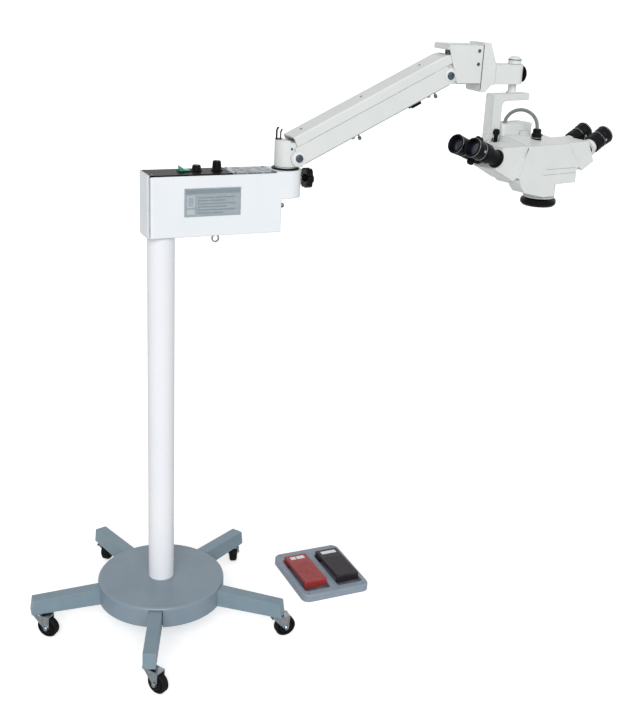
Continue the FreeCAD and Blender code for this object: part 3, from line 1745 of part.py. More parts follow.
def check_and_write():
    """Stops on any failed object or bad shape, then writes one file for each node."""
    doc.recompute()
    for thing in doc.Objects:
        if "Invalid" in thing.State or "Error" in thing.State:
            raise ValueError("%s failed" % thing.Name)
    os.makedirs("parts", exist_ok=True)
    for piece in PIECES:
        shape = piece.Shape
        if shape.isNull() or not shape.isValid():
            raise ValueError("%s has a bad shape" % piece.Label)
        shape.exportStep("parts/%s.step" % piece.Label)
    print(len(PIECES), "nodes written")


make_everything()
check_and_write()
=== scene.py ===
"""Surgical microscope on a castor stand: finishes, fine pieces, light and camera."""

import logging
import math
from dataclasses import dataclass, field
from enum import Enum
from typing import Callable, Optional, Sequence

import bmesh
import bpy
from mathutils import Matrix, Vector


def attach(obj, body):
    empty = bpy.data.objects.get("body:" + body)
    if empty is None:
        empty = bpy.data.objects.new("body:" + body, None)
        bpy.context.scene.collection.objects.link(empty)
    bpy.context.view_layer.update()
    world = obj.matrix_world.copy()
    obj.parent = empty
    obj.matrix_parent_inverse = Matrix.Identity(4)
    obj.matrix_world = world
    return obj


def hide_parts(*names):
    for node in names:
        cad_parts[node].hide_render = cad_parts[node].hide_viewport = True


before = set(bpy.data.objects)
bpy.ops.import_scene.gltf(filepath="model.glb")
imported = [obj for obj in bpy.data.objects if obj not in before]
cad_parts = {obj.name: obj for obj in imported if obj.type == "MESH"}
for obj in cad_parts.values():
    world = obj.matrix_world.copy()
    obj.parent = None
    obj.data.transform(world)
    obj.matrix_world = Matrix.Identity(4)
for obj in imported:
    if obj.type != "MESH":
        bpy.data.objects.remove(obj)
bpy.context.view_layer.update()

logging.basicConfig(level=logging.INFO, format="%(message)s")
LOG = logging.getLogger("surgical_microscope")

MM = 0.001

# The angle in degrees up to which faces shade smooth: flat pieces and turned pieces.
FLAT = 20.0
TURNED = 35.0

# Radii and heights in millimetres, and a piece's name, place and body.
Outline = Sequence[tuple[float, float]]
Row = tuple[str, Matrix, str]

Material = bpy.types.Material
Socket = bpy.types.NodeSocket
Thing = bpy.types.Object


class Grain(Enum):
    """How a finish breaks up the light."""

    EVEN = "even"
    BRUSHED = "brushed"
    RIBBED = "ribbed"


# ---- places


def shift(x: float, y: float, z: float) -> Matrix:
    """A move in millimetres."""
    return Matrix.Translation(Vector((x, y, z)) * MM)


def turn(degrees: float, axis: str = "Z") -> Matrix:
    """A turn about one axis in degrees."""
    return Matrix.Rotation(math.radians(degrees), 4, axis)


class Axis(Enum):
    """The way a piece faces when it is placed, as its turns about X and Y in degrees."""

    UP = (0, 0)
    DOWN = (180, 0)
    FRONT = (90, 0)
    BACK = (-90, 0)
    RIGHT = (0, 90)
    LEFT = (0, -90)

    def turn(self) -> Matrix:
        """Gives the matrix that turns a piece's Z that way."""
        return turn(self.value[1], "Y") @ turn(self.value[0], "X")


COLUMN = Matrix.Translation((-0.4154, -0.0038, 0.0))
HEAD = COLUMN @ shift(868, 0, 0) @ turn(12)
BEAM = COLUMN @ shift(305, 0, 1109) @ turn(-25.8, "Y")
TRAY = COLUMN @ shift(440, 20, 0) @ turn(-1)
SIDES = (("near", -1, Axis.FRONT), ("far", 1, Axis.BACK))


def spot(place: Matrix, x: float, y: float, z: float, axis: Axis = Axis.UP) -> Matrix:
    """A place in one of the part's frames.

    Args:
        place: the frame.
        x, y, z: distances along its axes in millimetres.
        axis: the way that the piece's own Z points.

    Returns:
        The matrix that takes the piece there.
    """
    return place @ shift(x, y, z) @ axis.turn()


def both_sides(
    name: str, body: str, x: float, reach: float, z: float, place: Matrix = COLUMN
) -> list[Row]:
    """The rows of a piece that sits on the near and on the far side.

    Args:
        name: the piece's name, with %s where near or far goes.
        body: the CAD body that it rides on.
        x, z: distances along the frame's axes in millimetres.
        reach: distance from its middle plane in millimetres.
        place: the frame.

    Returns:
        One row for each side, with the piece's Z pointing outwards.
    """
    return [(name % label, spot(place, x, side * reach, z, axis), body)
            for label, side, axis in SIDES]


# ---- finishes


def linear(code: str) -> tuple[float, float, float, float]:
    """Turns an sRGB hex colour to linear values.

    Args:
        code: six hex digits.

    Returns:
        Red, green, blue and alpha.
    """
    parts = []
    for start in (0, 2, 4):
        value = int(code[start:start + 2], 16) / 255
        parts.append(value / 12.92 if value <= 0.04045 else ((value + 0.055) / 1.055) ** 2.4)
    return (parts[0], parts[1], parts[2], 1.0)


def add_node(
    owner: bpy.types.ID,
    kind: str,
    out: str | int = 0,
    settings: Optional[dict] = None,
    links: Optional[dict] = None,
) -> Optional[Socket]:
    """Adds one shader node.

    Args:
        owner: the material or world that the node goes into.
        kind: the node's Blender type, without ShaderNode in front.
        out: the output that is wanted, by name or number.
        settings: input or property values by name.
        links: the sockets that feed its inputs, by input name.

    Returns:
        The output, or None for a node that has none.
    """
    node = owner.node_tree.nodes.new("ShaderNode" + kind)
    for name, value in (settings or {}).items():
        if isinstance(name, str) and hasattr(node, name):
            setattr(node, name, value)
        else:
            node.inputs[name].default_value = value
    for name, socket in (links or {}).items():
        owner.node_tree.links.new(socket, node.inputs[name])
    return node.outputs[out] if node.outputs else None


def empty_material(name: str) -> Material:
    """Makes a node material without nodes.

    Args:
        name: the material's name.

    Returns:
        The new material.
    """
    made = bpy.data.materials.new(name)
    made.use_nodes = True
    made.node_tree.nodes.clear()
    return made


@dataclass(frozen=True)
class Finish:
    """One real material and how its surface was made, with painted highlights or painted shade on
    its edges where an edge colour is given.

    The slot is the record's slot for the fine pieces that wear it.
    """

    name: str
    colour: str
    shade: str
    patch_mm: float = 60.0
    slot: str = ""
    metallic: float = 0.0
    rough: float = 0.4
    spread: float = 0.06
    ior: float = 1.5
    grain: Grain = Grain.EVEN
    grain_mm: float = 0.8
    depth_mm: float = 0.01
    rib_scale: float = 24.0
    edge_mm: float = 0.0
    # The edge colour: lighter than the finish for a painted highlight, darker for painted shade.
    edge_highlight_shade: str = ""
    coat: float = 0.0
    stretch: tuple[float, float, float] = (1.0, 1.0, 1.0)

    def material(self) -> Material:
        """Gives the material, made on first use."""
        return bpy.data.materials.get(self.name) or self.build()

    def build(self) -> Material:
        """Makes the node material.

        Returns:
            The new material.
        """
        made = empty_material(self.name)
        place = add_node(made, "TexCoord", "Object")
        drawn = add_node(made, "Mapping", 0, {"Scale": self.stretch}, {"Vector": place})
        patch = add_node(
            made, "TexNoise", "Fac",
            {"Scale": 1 / (self.patch_mm * MM), "Detail": 4.0, "Roughness": 0.6},
            {"Vector": drawn},
        )
        spread = add_node(
            made, "MapRange", "Result", {"From Min": 0.3, "From Max": 0.7}, {"Value": patch}
        )
        colour = add_node(
            made, "Mix", 2,
            {"data_type": "RGBA", 6: linear(self.colour), 7: linear(self.shade)}, {0: spread},
        )
        fine = self.fine_pattern(made, place, drawn)
        low = max(0.02, self.rough - self.spread)
        high = min(1.0, self.rough + self.spread)
        rough = add_node(
            made, "MapRange", "Result", {"To Min": low, "To Max": high}, {"Value": fine}
        )
        bump_links = {"Height": fine}
        if self.edge_mm:
            rounded = add_node(
                made, "Bevel", "Normal", {"samples": 4, "Radius": self.edge_mm * MM}
            )
            bump_links["Normal"] = rounded
            # The edges get the edge colour, as painted highlight or painted shade.
            if self.edge_highlight_shade:
                colour = self.paint_edge_highlight_shade(made, rounded, colour)
        bump = add_node(
            made, "Bump", "Normal",
            {"Strength": 1.0, "Distance": self.depth_mm * MM}, bump_links,
        )
        settings = {"Metallic": self.metallic}
        if not self.metallic:
            settings["IOR"] = self.ior
        if self.coat:
            settings |= {"Coat Weight": self.coat, "Coat Roughness": 0.12}
        shader = add_node(
            made, "BsdfPrincipled", "BSDF", settings,
            {"Base Color": colour, "Roughness": rough, "Normal": bump},
        )
        add_node(made, "OutputMaterial", 0, None, {"Surface": shader})
        return made

    def fine_pattern(
        self,
        made: Material,
        place: Socket,
        drawn: Socket,
    ) -> Socket:
        """Adds the pattern that breaks up gloss and gives relief.

        Args:
            made: the material.
            place: plain object coordinates.
            drawn: object coordinates drawn out along the brushing.

        Returns:
            The socket with the pattern.
        """
        if self.grain is Grain.RIBBED:
            along = add_node(made, "TexCoord", "UV")
            return add_node(
                made, "TexWave", "Fac",
                {"wave_type": "BANDS", "bands_direction": "X", "Scale": self.rib_scale},
                {"Vector": along},
            )
        return add_node(
            made, "TexNoise", "Fac", {"Scale": 1 / (self.grain_mm * MM), "Detail": 3.0},
            {"Vector": drawn if self.grain is Grain.BRUSHED else place},
        )

    def paint_edge_highlight_shade(
        self,
        made: Material,
        rounded: Socket,
        colour: Socket,
    ) -> Socket:
        """Paints the outer millimetre of each edge in the edge colour: a lighter one is a painted
        highlight, a darker one is painted shade.

        Args:
            made: the material.
            rounded: the rounded normal.
            colour: the colour away from the edges.

        Returns:
            The socket with the new colour.
        """
        flat = add_node(made, "NewGeometry", "True Normal")
        match = add_node(
            made, "VectorMath", "Value", {"operation": "DOT_PRODUCT"}, {0: rounded, 1: flat}
        )
        edge_highlight_shade_mask = add_node(
            made, "MapRange", "Result", {"From Min": 0.98, "From Max": 0.80}, {"Value": match}
        )
        return add_node(
            made, "Mix", 2, {"data_type": "RGBA", 7: linear(self.edge_highlight_shade)},
            {0: edge_highlight_shade_mask, 6: colour},
        )


# Semi-gloss enamel over a rough casting: soft highlights, and its edges painted lighter as a
# highlight.
BASE_CASTING = Finish(
    "Semi-gloss enamel on cast iron", "80939D", "768D9A", 45, rough=0.38, grain_mm=2.2,
    depth_mm=0.03, edge_mm=1.6, edge_highlight_shade="93AAB6",
)
# Smooth enamel on spun steel: one broad soft reflection, and a pale rim painted on its edges as a
# highlight.
BASE_ENAMEL = Finish(
    "Semi-gloss enamel on spun steel", "8594A0", "7B8D9A", 90, "base_paint", rough=0.33,
    grain_mm=1.4, depth_mm=0.008, edge_mm=2.0, edge_highlight_shade="B4C2CB",
)
# Powder coat on sheet steel: clean cool white with a faint orange peel; its edges are painted
# grey as shade.
POWDER_WHITE = Finish(
    "White powder coat on sheet steel", "EDF1F5", "E8EDF2", 120, "white_paint", rough=0.36,
    grain_mm=1.8, depth_mm=0.012, edge_mm=2.6, edge_highlight_shade="B2B8BD",
)
# Stove enamel on a steel tube: the same white, smoother and glossier; its edges are painted
# darker as shade.
TUBE_WHITE = Finish(
    "White stove enamel on steel tube", "EFF0F4", "E9ECF1", 200, rough=0.27, grain_mm=2.0,
    depth_mm=0.006, edge_mm=0.8, edge_highlight_shade="C2C7CC",
)
# Enamel on cast aluminium: warmer grey-white with a slight skin; its edges are painted darker as
# shade.
CAST_WHITE = Finish(
    "Off-white enamel on cast aluminium", "DFE2E1", "D9DDDC", 50, "white_cast", rough=0.42,
    grain_mm=1.5, depth_mm=0.02, edge_mm=2.0, edge_highlight_shade="A9B1B3",
)
# Moulded ABS cover: the same off-white, finer and more even; its edges are painted darker as
# shade.
COVER_WHITE = Finish(
    "Off-white moulded ABS", "DEE1E0", "D9DDDB", 90, rough=0.45, grain_mm=0.9, edge_mm=1.8,
    edge_highlight_shade="B4BBBB",
)
# Bright chrome on steel: mirror-like with faint clouding.
CHROME = Finish(
    "Bright chrome plate", "A7ADB1", "838A90", 8, "bright_chrome", metallic=1.0, rough=0.16,
    spread=0.05, grain_mm=2.0, depth_mm=0.004, edge_mm=0.4,
)
# Solid rubber tyre: near black, dull, dusty where it rolls.
TYRE_RUBBER = Finish(
    "Black tyre rubber", "0A0A0C", "141417", 12, "black_tyre", rough=0.7, ior=1.25,
    depth_mm=0.03, edge_mm=0.8,
)
# Injection-moulded ABS, fine spark texture: black, with its edges painted grey as a highlight.
BLACK_MOULDED = Finish(
    "Black moulded ABS", "08080A", "0E0E11", 15, "black_plastic", ior=1.2, grain_mm=0.5,
    depth_mm=0.015, edge_mm=0.6, edge_highlight_shade="26272B",
)
# Polished phenolic: deep black with tight highlights.
BLACK_PHENOLIC = Finish(
    "Polished black phenolic", "050507", "0A0A0D", 18, "black_gloss", rough=0.20, ior=1.25,
    grain_mm=1.2, depth_mm=0.004, edge_mm=1.0,
)
# Black anodised aluminium: satin, slightly metallic sheen on turned faces; its edges are painted
# lighter as a highlight.
BLACK_ANODISED = Finish(
    "Black anodised aluminium", "060608", "0C0D10", 20, "black_anodised", rough=0.34, ior=1.22,
    grain=Grain.BRUSHED, grain_mm=1.0, depth_mm=0.005, edge_mm=0.6, edge_highlight_shade="2C2E33",
    stretch=(1.0, 1.0, 14.0),
)
# Brushed bare aluminium sheet, brushed across the box; its colour breaks into dark cloudy patches
# drawn out along the brushing.
BRUSHED_SHEET = Finish(
    "Brushed aluminium sheet", "AEB7BE", "2E3740", 11, metallic=1.0, rough=0.30, spread=0.12,
    grain=Grain.BRUSHED, depth_mm=0.006, stretch=(1.3, 0.35, 1.0),
)
# Etched aluminium label plate: flat mid grey, satin.
PLATE_GREY = Finish(
    "Etched aluminium label plate", "AAB5BA", "929FA7", 6, "bare_aluminium", metallic=0.1,
    rough=0.45, grain=Grain.BRUSHED, grain_mm=0.7, depth_mm=0.004, stretch=(0.4, 1.0, 3.0),
)
# The plate's filled rules and frame: darker ink in the etching.
PLATE_DARK = Finish(
    "Ink-filled etching", "7C8990", "8C999F", 3, "bare_aluminium", metallic=0.1, rough=0.5,
    grain_mm=0.7, depth_mm=0.004,
)
# The plate's pale cells: bare metal left bright.
PLATE_PALE = Finish(
    "Bright cells of the label plate", "C3CCCC", "B0BBBF", 5, "bare_aluminium", metallic=0.1,
    rough=0.38, grain=Grain.BRUSHED, grain_mm=0.7, depth_mm=0.004, stretch=(0.4, 1.0, 3.0),
)
# Ground and blackened steel of the pivot bolts: dark blue-grey, with its edges painted lighter as
# a highlight.
BOLT_STEEL = Finish(
    "Blackened steel", "55616B", "46525C", 8, "steel", metallic=0.7, edge_mm=0.5, edge_highlight_shade="8A949C",
)
# Plain turned steel.
TURNED_STEEL = Finish(
    "Turned steel", "8B9095", "6F757B", 16, "steel", metallic=1.0, rough=0.30,
    grain=Grain.BRUSHED, grain_mm=0.9, depth_mm=0.006, edge_mm=0.4, stretch=(1.0, 1.0, 10.0),
)
# Translucent green polycarbonate rocker: bright, glossy, a little uneven; its edges are painted
# paler as a highlight.
ROCKER_GREEN = Finish(
    "Green polycarbonate", "47AC8C", "2F8F74", 9, "rocker_green", rough=0.20, coat=0.3, ior=1.58,
    grain_mm=1.5, depth_mm=0.005, edge_mm=0.7, edge_highlight_shade="8AD8BE",
)
# Coated optical glass: dark with a violet-green cast.
COATED_GLASS = Finish(
    "Coated optical glass", "1B1F33", "16242E", 10, "lens_glass", rough=0.04, spread=0.01,
    ior=1.52, coat=0.3, grain_mm=6.0, depth_mm=0.001,
)
# Grey PVC sleeve over the fibre bundle, ribbed every 2 mm.
SLEEVE_GREY = Finish(
    "Ribbed grey PVC sleeve", "8B8F90", "757A7C", 6, "cable_sleeve", rough=0.5,
    grain=Grain.RIBBED, depth_mm=0.5,
)
# The same grey PVC, smooth, in the dots of the eyepieces.
SLEEVE_PLAIN = Finish(
    "Smooth grey PVC", "8B8F90", "9DA1A2", 3, "black_plastic", rough=0.5, depth_mm=0.004,
)
# Grey enamel on the cast foot switch: cool, with its rims painted lighter as a highlight.
TRAY_ENAMEL = Finish(
    "Grey enamel on cast aluminium", "8E9AA8", "8591A0", 30, grain_mm=1.5, depth_mm=0.02,
    edge_mm=2.4, edge_highlight_shade="B9C2CB",
)
# Moulded nylon pedals, scuffed by shoes; their edges are painted lighter as a highlight.
PEDAL_RED = Finish(
    "Red moulded nylon", "A23434", "8C2A2C", 14, "pedal_red", grain_mm=1.0, depth_mm=0.03,
    edge_mm=1.2, edge_highlight_shade="C25A55",
)
PEDAL_BLACK = Finish(
    "Black moulded nylon", "2E262D", "241E25", 14, "pedal_black", rough=0.45, ior=1.35,
    grain_mm=1.0, depth_mm=0.03, edge_mm=1.2, edge_highlight_shade="5D525C",
)
# White print and white vinyl strips.
PRINT_WHITE = Finish(
    "White print", "F1F2F2", "E6E8E8", 5, "black_plastic", rough=0.5, grain_mm=0.5,
    depth_mm=0.002,
)
# Painted shade of a narrow seam: a grey strip laid flush where the groove would lie in shade.
SEAM_SHADE = Finish(
    "Painted shade of a seam", "8C9797", "7E8A8B", 10, "white_cast", rough=0.7, grain_mm=0.6,
)
# Painted shade of a deep gap between two castings: a dark strip where the gap lies in shade.
SHADOW_GAP = Finish(
    "Painted shade in a gap", "59635F", "4A5352", 8, "white_cast", rough=0.9,
)
# Painted shade along the lower edges: a grey strip where the underside turns away from the light.
LOWER_EDGE_SHADE = Finish(
    "Painted shade on a lower edge", "9CA4A6", "8F989B", 20, "white_cast", rough=0.5, depth_mm=0.006,
)
# Pale nylon washers, with their edges painted darker as shade.
WASHER_PALE = Finish(
    "Pale nylon washer", "EDF0EE", "E2E6E4", 8, "white_cast", rough=0.45, depth_mm=0.005,
    edge_mm=0.4, edge_highlight_shade="C4C9C8",
)

# The starts of the names of the CAD nodes that wear each finish. The longest match counts.
NODE_STARTS: dict[Finish, tuple[str, ...]] = {
    BASE_CASTING: ("base_spider",),
    BASE_ENAMEL: ("drum_cover",),
    TUBE_WHITE: ("column_tube",),
    CHROME: ("caster_fork", "cable_loop", "beam_clips"),
    TYRE_RUBBER: ("caster_wheel",),
    POWDER_WHITE: ("box_shell",),
    BRUSHED_SHEET: ("box_lid", "lamp_module"),
    TURNED_STEEL: ("column_sleeve", "balance_spring", "tie_rod", "focus_motor"),
    ROCKER_GREEN: ("power_rocker",),
    BLACK_MOULDED: (
        "control_panel", "brightness_knob", "lamp_select_knob", "cable_hooks", "brake_knob",
        "tilt_lever", "light_plug", "main_tube", "main_eyepiece", "assistant_eyepiece",
        "ipd_knob",
    ),
    BLACK_PHENOLIC: ("clamp_knob", "arm_lock"),
    BLACK_ANODISED: ("objective_ring",),
    BOLT_STEEL: ("lower_pivot_bolt", "upper_pivot_bolt"),
    CAST_WHITE: (
        "turret_bracket", "beam_channel", "head_bracket", "swivel_head", "yoke_arm",
        "focus_housing", "scope_body", "main_binocular", "assistant_binocular",
        "assistant_tube",
    ),
    COVER_WHITE: ("beam_cover", "spindle_cap"),
    COATED_GLASS: ("objective_lens",),
    SLEEVE_GREY: ("light_guide",),
    TRAY_ENAMEL: ("foot_switch_tray",),
    PEDAL_RED: ("red_pedal",),
    PEDAL_BLACK: ("black_pedal",),
}


def dress_nodes() -> None:
    """Gives each CAD node the finish of the real piece."""
    finishes = {start: finish for finish, starts in NODE_STARTS.items() for start in starts}
    for name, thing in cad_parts.items():
        found = [start for start in finishes if name.startswith(start)]
        finish = finishes[max(found, key=len)]
        thing.data.materials.clear()
        thing.data.materials.append(finish.material())
        LOG.info("node %s: %s", name, finish.name)


# ---- modelling


@dataclass
class Bench:
    """The bench that pieces are modelled on, with one piece in work at a time."""

    made: list[str] = field(default_factory=list)

    def clear(self) -> None:
        """Leaves edit mode and deselects everything."""
        if bpy.context.object and bpy.context.object.mode != "OBJECT":
            bpy.ops.object.mode_set(mode="OBJECT")
        bpy.ops.object.select_all(action="DESELECT")

    def pick(self, test: Callable[[Vector, Vector], bool], points: bool = False) -> None:
        """Selects the faces or points that a test accepts, in edit mode.

        Args:
            test: takes the place and the normal of one.
            points: whether points are picked in place of faces.
        """
        bpy.ops.mesh.select_mode(type="VERT" if points else "FACE")
        bpy.ops.mesh.select_all(action="DESELECT")
        mesh = bmesh.from_edit_mesh(bpy.context.object.data)
        for one in mesh.verts if points else mesh.faces:
            place = one.co if points else one.calc_center_median()
            one.select_set(test(place, one.normal))
        mesh.select_flush_mode()
        bmesh.update_edit_mesh(bpy.context.object.data)

    def draw_up(self, outline: Outline, sides: int, fill: str) -> None:
        """Draws a circle up through an outline and stays in edit mode.

        Args:
            outline: the radii and heights, from the first circle on.
            sides: faces round the piece.
            fill: how the first circle is closed.
        """
        self.clear()
        radius, height = outline[0]
        bpy.ops.mesh.primitive_circle_add(
            vertices=sides, radius=radius * MM, fill_type=fill, location=(0, 0, height * MM)
        )
        bpy.ops.object.mode_set(mode="EDIT")
        bpy.ops.mesh.select_mode(type="VERT")
        bpy.ops.mesh.select_all(action="SELECT")
        for (r0, z0), (r1, z1) in zip(outline, outline[1:]):
            bpy.ops.mesh.extrude_region_move(
                TRANSFORM_OT_translate={"value": (0, 0, (z1 - z0) * MM)}
            )
            scale = r1 / r0
            bpy.ops.transform.resize(value=(scale, scale, 1), center_override=(0, 0, z1 * MM))

    def turned(self, outline: Outline, sides: int = 40) -> Thing:
        """Turns a solid.

        Args:
            outline: the radii and heights, from the foot to the top.
            sides: faces round the piece.

        Returns:
            The object, still on the bench.
        """
        self.draw_up(outline, sides, "NGON")
        self.close_up()
        return bpy.context.object

    def ring(self, outline: Outline, sides: int = 48) -> Thing:
        """Turns a closed ring.

        Args:
            outline: the radii and heights round its section.
            sides: faces round the ring.

        Returns:
            The object, still on the bench.
        """
        self.draw_up(outline, sides, "NOTHING")
        bpy.ops.mesh.select_mode(type="EDGE")
        bpy.ops.mesh.select_all(action="DESELECT")
        bpy.ops.mesh.select_non_manifold()
        bpy.ops.mesh.bridge_edge_loops()
        self.close_up()
        return bpy.context.object

    def close_up(self) -> None:
        """Turns the faces outwards and leaves edit mode."""
        bpy.ops.mesh.select_all(action="SELECT")
        bpy.ops.mesh.normals_make_consistent(inside=False)
        bpy.ops.object.mode_set(mode="OBJECT")

    def slab(self, x: float, y: float, z: float, bevel: float = 0.4) -> Thing:
        """Makes a flat-bottomed slab with eased edges, standing on its origin.

        Args:
            x, y, z: its length, width and height in millimetres.
            bevel: how far its edges are eased.

        Returns:
            The object, still on the bench.
        """
        self.clear()
        bpy.ops.mesh.primitive_cube_add(size=1, location=(0, 0, 0))
        bpy.ops.object.mode_set(mode="EDIT")
        bpy.ops.mesh.select_all(action="SELECT")
        bpy.ops.transform.resize(value=(x * MM, y * MM, z * MM), center_override=(0, 0, 0))
        bpy.ops.transform.translate(value=(0, 0, z * MM / 2))
        self.pick(lambda centre, normal: normal.z > -0.5)
        bpy.ops.mesh.select_mode(type="EDGE")
        bpy.ops.mesh.bevel(offset=bevel * MM, segments=2, affect="EDGES")
        self.close_up()
        return bpy.context.object

    def fluted(self, outline: Outline, sides: int, depth: float) -> Thing:
        """Turns a solid and raises every other side face as a grip.

        Args:
            outline: the radii and heights, from the foot to the top.
            sides: faces round the piece, an even number.
            depth: how far the ribs stand out in millimetres.

        Returns:
            The object, still on the bench.
        """
        thing = self.turned(outline, sides)
        bpy.ops.object.mode_set(mode="EDIT")
        step = 2 * math.pi / sides

        def every_other(centre: Vector, normal: Vector) -> bool:
            """Accepts every second face round the side."""
            place = math.atan2(centre.y, centre.x) / step
            return abs(normal.z) < 0.3 and int(math.floor(place)) % 2 == 0

        self.pick(every_other)
        bpy.ops.mesh.extrude_region_shrink_fatten(
            TRANSFORM_OT_shrink_fatten={"value": depth * MM}
        )
        self.close_up()
        return thing

    def press(self, rim: float, depth: float, taper: float = 1.0) -> None:
        """Sinks the top face of the piece on the bench.

        Args:
            rim: the width left round it in millimetres.
            depth: how deep it goes in millimetres.
            taper: the floor's size against the mouth's.
        """
        bpy.ops.object.mode_set(mode="EDIT")
        self.pick(lambda centre, normal: normal.z > 0.95)
        bpy.ops.mesh.inset(thickness=rim * MM)
        bpy.ops.mesh.extrude_region_move(TRANSFORM_OT_translate={"value": (0, 0, -depth * MM)})
        bpy.ops.transform.resize(value=(taper, taper, 1), center_override=(0, 0, 0))
        self.close_up()

    def screw(self, radius: float, height: float) -> Thing:
        """Makes a pan-head screw with a round recess.

        Args:
            radius: the head's radius in millimetres.
            height: the head's height in millimetres.

        Returns:
            The screw, still on the bench, head up.
        """
        outline = (
            (radius, 0), (radius, height * 0.5), (radius * 0.8, height * 0.9),
            (radius * 0.45, height),
        )
        thing = self.turned(outline, 24)
        self.press(radius * 0.12, height * 0.45, 0.8)
        return thing

    def copy(self, thing: Thing) -> Thing:
        """Copies a finished piece.

        Args:
            thing: the piece.

        Returns:
            The copy, with a mesh of its own.
        """
        twin = thing.copy()
        twin.data = thing.data.copy()
        bpy.context.scene.collection.objects.link(twin)
        return twin

    def fan_out(
        self, thing: Thing, angles: Sequence[float], radius: float
    ) -> None:
        """Sets copies of a piece round the bench's Z and joins them to it.

        Args:
            thing: the piece on the bench.
            angles: where each one goes, in degrees from the bench's Y.
            radius: their distance from the middle in millimetres.
        """
        ring = [thing] + [self.copy(thing) for _ in angles[1:]]
        self.clear()
        for angle, one in zip(angles, ring):
            one.matrix_world = turn(angle) @ shift(0, radius, 0)
            one.select_set(True)
        bpy.context.view_layer.objects.active = thing
        bpy.ops.object.transform_apply(location=True, rotation=True, scale=True)
        bpy.ops.object.join()

    def fit(
        self, thing: Thing, finish: Finish, *rows: Row, smooth: float = TURNED, slot: str = ""
    ) -> None:
        """Puts a piece that is modelled once in one or more places and dresses it.

        Args:
            thing: the piece on the bench. All but the last place get copies of it.
            finish: its finish.
            rows: the name, the place and the CAD body to ride on, for each.
            smooth: the angle up to which faces shade smooth.
            slot: the record's material slot, where it isn't the finish's own. It is not used.
        """
        self.clear()
        for one, (name, place, body) in zip([self.copy(thing) for _ in rows[1:]] + [thing], rows):
            one.name = one.data.name = name
            one.matrix_world = place @ one.matrix_basis
            self.clear()
            one.select_set(True)
            bpy.context.view_layer.objects.active = one
            bpy.ops.object.transform_apply(location=True, rotation=True, scale=True)
            bpy.ops.object.shade_smooth_by_angle(angle=math.radians(smooth))
            one.data.materials.append(finish.material())
            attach(one, body)
            self.made.append(name)
            LOG.info("piece %s on %s: %s", name, body, finish.name)


BENCH = Bench()


# ---- light and camera


